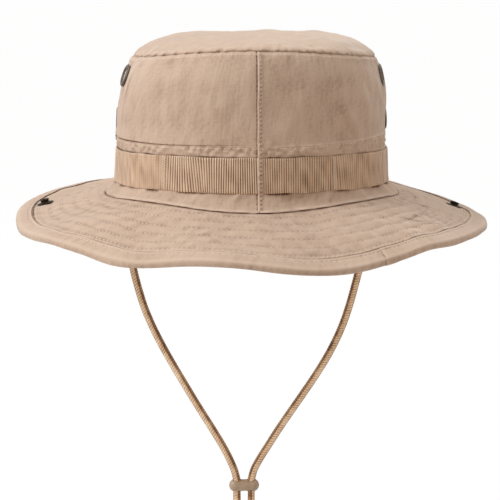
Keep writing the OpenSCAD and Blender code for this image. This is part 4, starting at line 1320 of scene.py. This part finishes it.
# Snaps: turned profiles of radius and height over the cloth
STUD = array([(1.8, 0.2), (5.4, -0.2), (5.7, 0.1), (5.5, 0.4), (4.8, 0.6), (3.6, 0.7), (2.9, 1.0),
              (2.7, 1.6), (2.8, 2.0), (3.1, 2.3), (3.1, 2.6), (2.8, 2.9), (2.2, 3.0), (1.9, 2.8),
              (1.8, 2.2), (0, 2.1)]) * MM
SOCKET = array([(1.8, 0.2), (5.8, 0), (6.0, 0.3), (5.9, 0.6), (5.5, 0.8), (5.4, 1.1), (5.1, 1.4),
                (4.2, 1.5), (3.6, 1.3), (3.4, 1.0), (3.4, 0.6), (0, 0.6)]) * MM
CAP = array([(0, 0), (5.0, 0), (5.8, -0.1), (6.0, -0.4), (5.7, -0.8), (4.8, -1.1), (3.0, -1.35),
             (0, -1.4)]) * MM
BRIM_CAP_DROP = 0.0029
CROWN_CAP_DROP = 0.0025
for name, side in SIDES.items():
    flap = "brim_flap_" + name
    brim = brim_seat(side * SNAP_ANGLE * DEG, SNAP_SHARE)
    crown = wall_seat(side * CROWN_SNAP_ANGLE * DEG, CROWN_SNAP_Z)
    for (point, normal), place, part, profile, drop, body in (
            (brim, "brim_snap", "stud_", STUD, 0.0, flap),
            (brim, "brim_snap", "cap_", CAP, BRIM_CAP_DROP, flap),
            (crown, "crown_snap", "socket_", SOCKET, 0.0, "hat"),
            (crown, "crown_snap", "cap_", CAP, CROWN_CAP_DROP, "hat")):
        end = part + name
        piece = lathe_piece(place + "_metal_" + end, profile, point - normal * drop, normal, SNAP_METAL)
        dress(piece, body, "snap_metal", place + "_" + end)

# Cord tabs: tape sewn to the sweatband and folded round the end of the cord
TAB_H = 0.014
TAB_T = 0.0008
TAB_TOP = 0.012
TAB_WALL_X = 0.0885
TAB_SECTION = [(0, -6), (0, -3.6), (-1.2, -3.0), (-3.0, -3.4), (-5.2, -2.6), (-6.2, -0.8), (-6.2, 0.8),
               (-5.2, 2.6), (-3.0, 3.4), (-1.2, 3.0), (0, 3.6), (0, 6)]
section, _ = smooth_path([(x * MM, y * MM, 0) for x, y in TAB_SECTION], 0.0004)
z = linspace(TAB_TOP - TAB_H, TAB_TOP, 24)[:, None]
puff = 0.0002 * field(section[:, 1], z, 0.003, 81)
across = unit(np.gradient(section, axis=0))
weave = weave_at(section[:, 1], z)
for name, side in SIDES.items():
    skins = []
    for depth in (0.0, TAB_T):
        x = TAB_WALL_X - 0.0002 + section[:, 0] - across[:, 1] * depth + puff * 0.3
        skins.append(stack(side * x, section[:, 1] + across[:, 0] * depth, z))
    if side < 0:
        skins = skins[::-1]
    tab = shell_piece("cord_loop_" + name, *skins, WEBBING, weave, 0.5 * cos(z / 0.0003) + 0 * puff)
    dress(tab, "hat", "webbing", "cord_tab_" + name)

# Floor, world and lamps
FLOOR_Z = -0.299
FLOOR_HALF = 60.0
FLOOR_GREY = (0.85, 0.85, 0.85, 1)
FLOOR_GLOW = 1.02
FLOOR_GLOW_SHARE = 0.95
WHITE = (1, 1, 1, 1)


# White to the camera and to reflections, pale and shadowed to the rest
def floor_material():
    paint = new_paint("pale_floor")
    paint.shade(Base_Color=FLOOR_GREY, Roughness=0.9)
    glow = paint.node("Emission", Color=WHITE, Strength=FLOOR_GLOW)
    share = paint.math("MULTIPLY", paint.seen(), FLOOR_GLOW_SHARE)
    paint.surface("Material Output", share, paint.shader.outputs[0], glow)
    return paint.owner


corners = [(x * FLOOR_HALF, y * FLOOR_HALF, FLOOR_Z) for x, y in ((-1, -1), (1, -1), (1, 1), (-1, 1))]
floor = make_piece("floor", corners, [[0, 1, 2, 3]], floor_material())

WORLD_STRENGTH = 0.4
WORLD_TINT = (1.0, 0.915, 0.82, 1)
world = Paint(bpy.data.worlds.new("studio"), "Background")
bpy.context.scene.world = world.owner
world.shade(Color=WHITE)
room = world.node("Background", Color=WORLD_TINT, Strength=WORLD_STRENGTH)
world.surface("World Output", world.seen(), room, world.shader.outputs[0])

# Lamps: a place, a size, a power and a tint
LAMPS = {"key": ((-1.5, -0.5, 1.1), 0.8, 22.8, (0.96, 0.99, 1.0)),
         "top": ((0.0, 0.1, 1.7), 1.0, 12.0, (0.84, 0.94, 1.0)),
         "back": ((0.5, 1.5, 1.0), 1.0, 5.0, (1.0, 0.95, 0.88)),
         "fill": ((1.5, -0.9, 0.3), 1.0, 2.6, (1.0, 0.84, 0.68))}
for name, (place, size, power, tint) in LAMPS.items():
    lamp_data = bpy.data.lights.new(name, "AREA")
    lamp_data.size = size
    lamp_data.energy = power
    lamp_data.color = tint
    aimed(name, lamp_data, place, (0, 0, 0))
bpy.context.scene.view_settings.view_transform = "Standard"
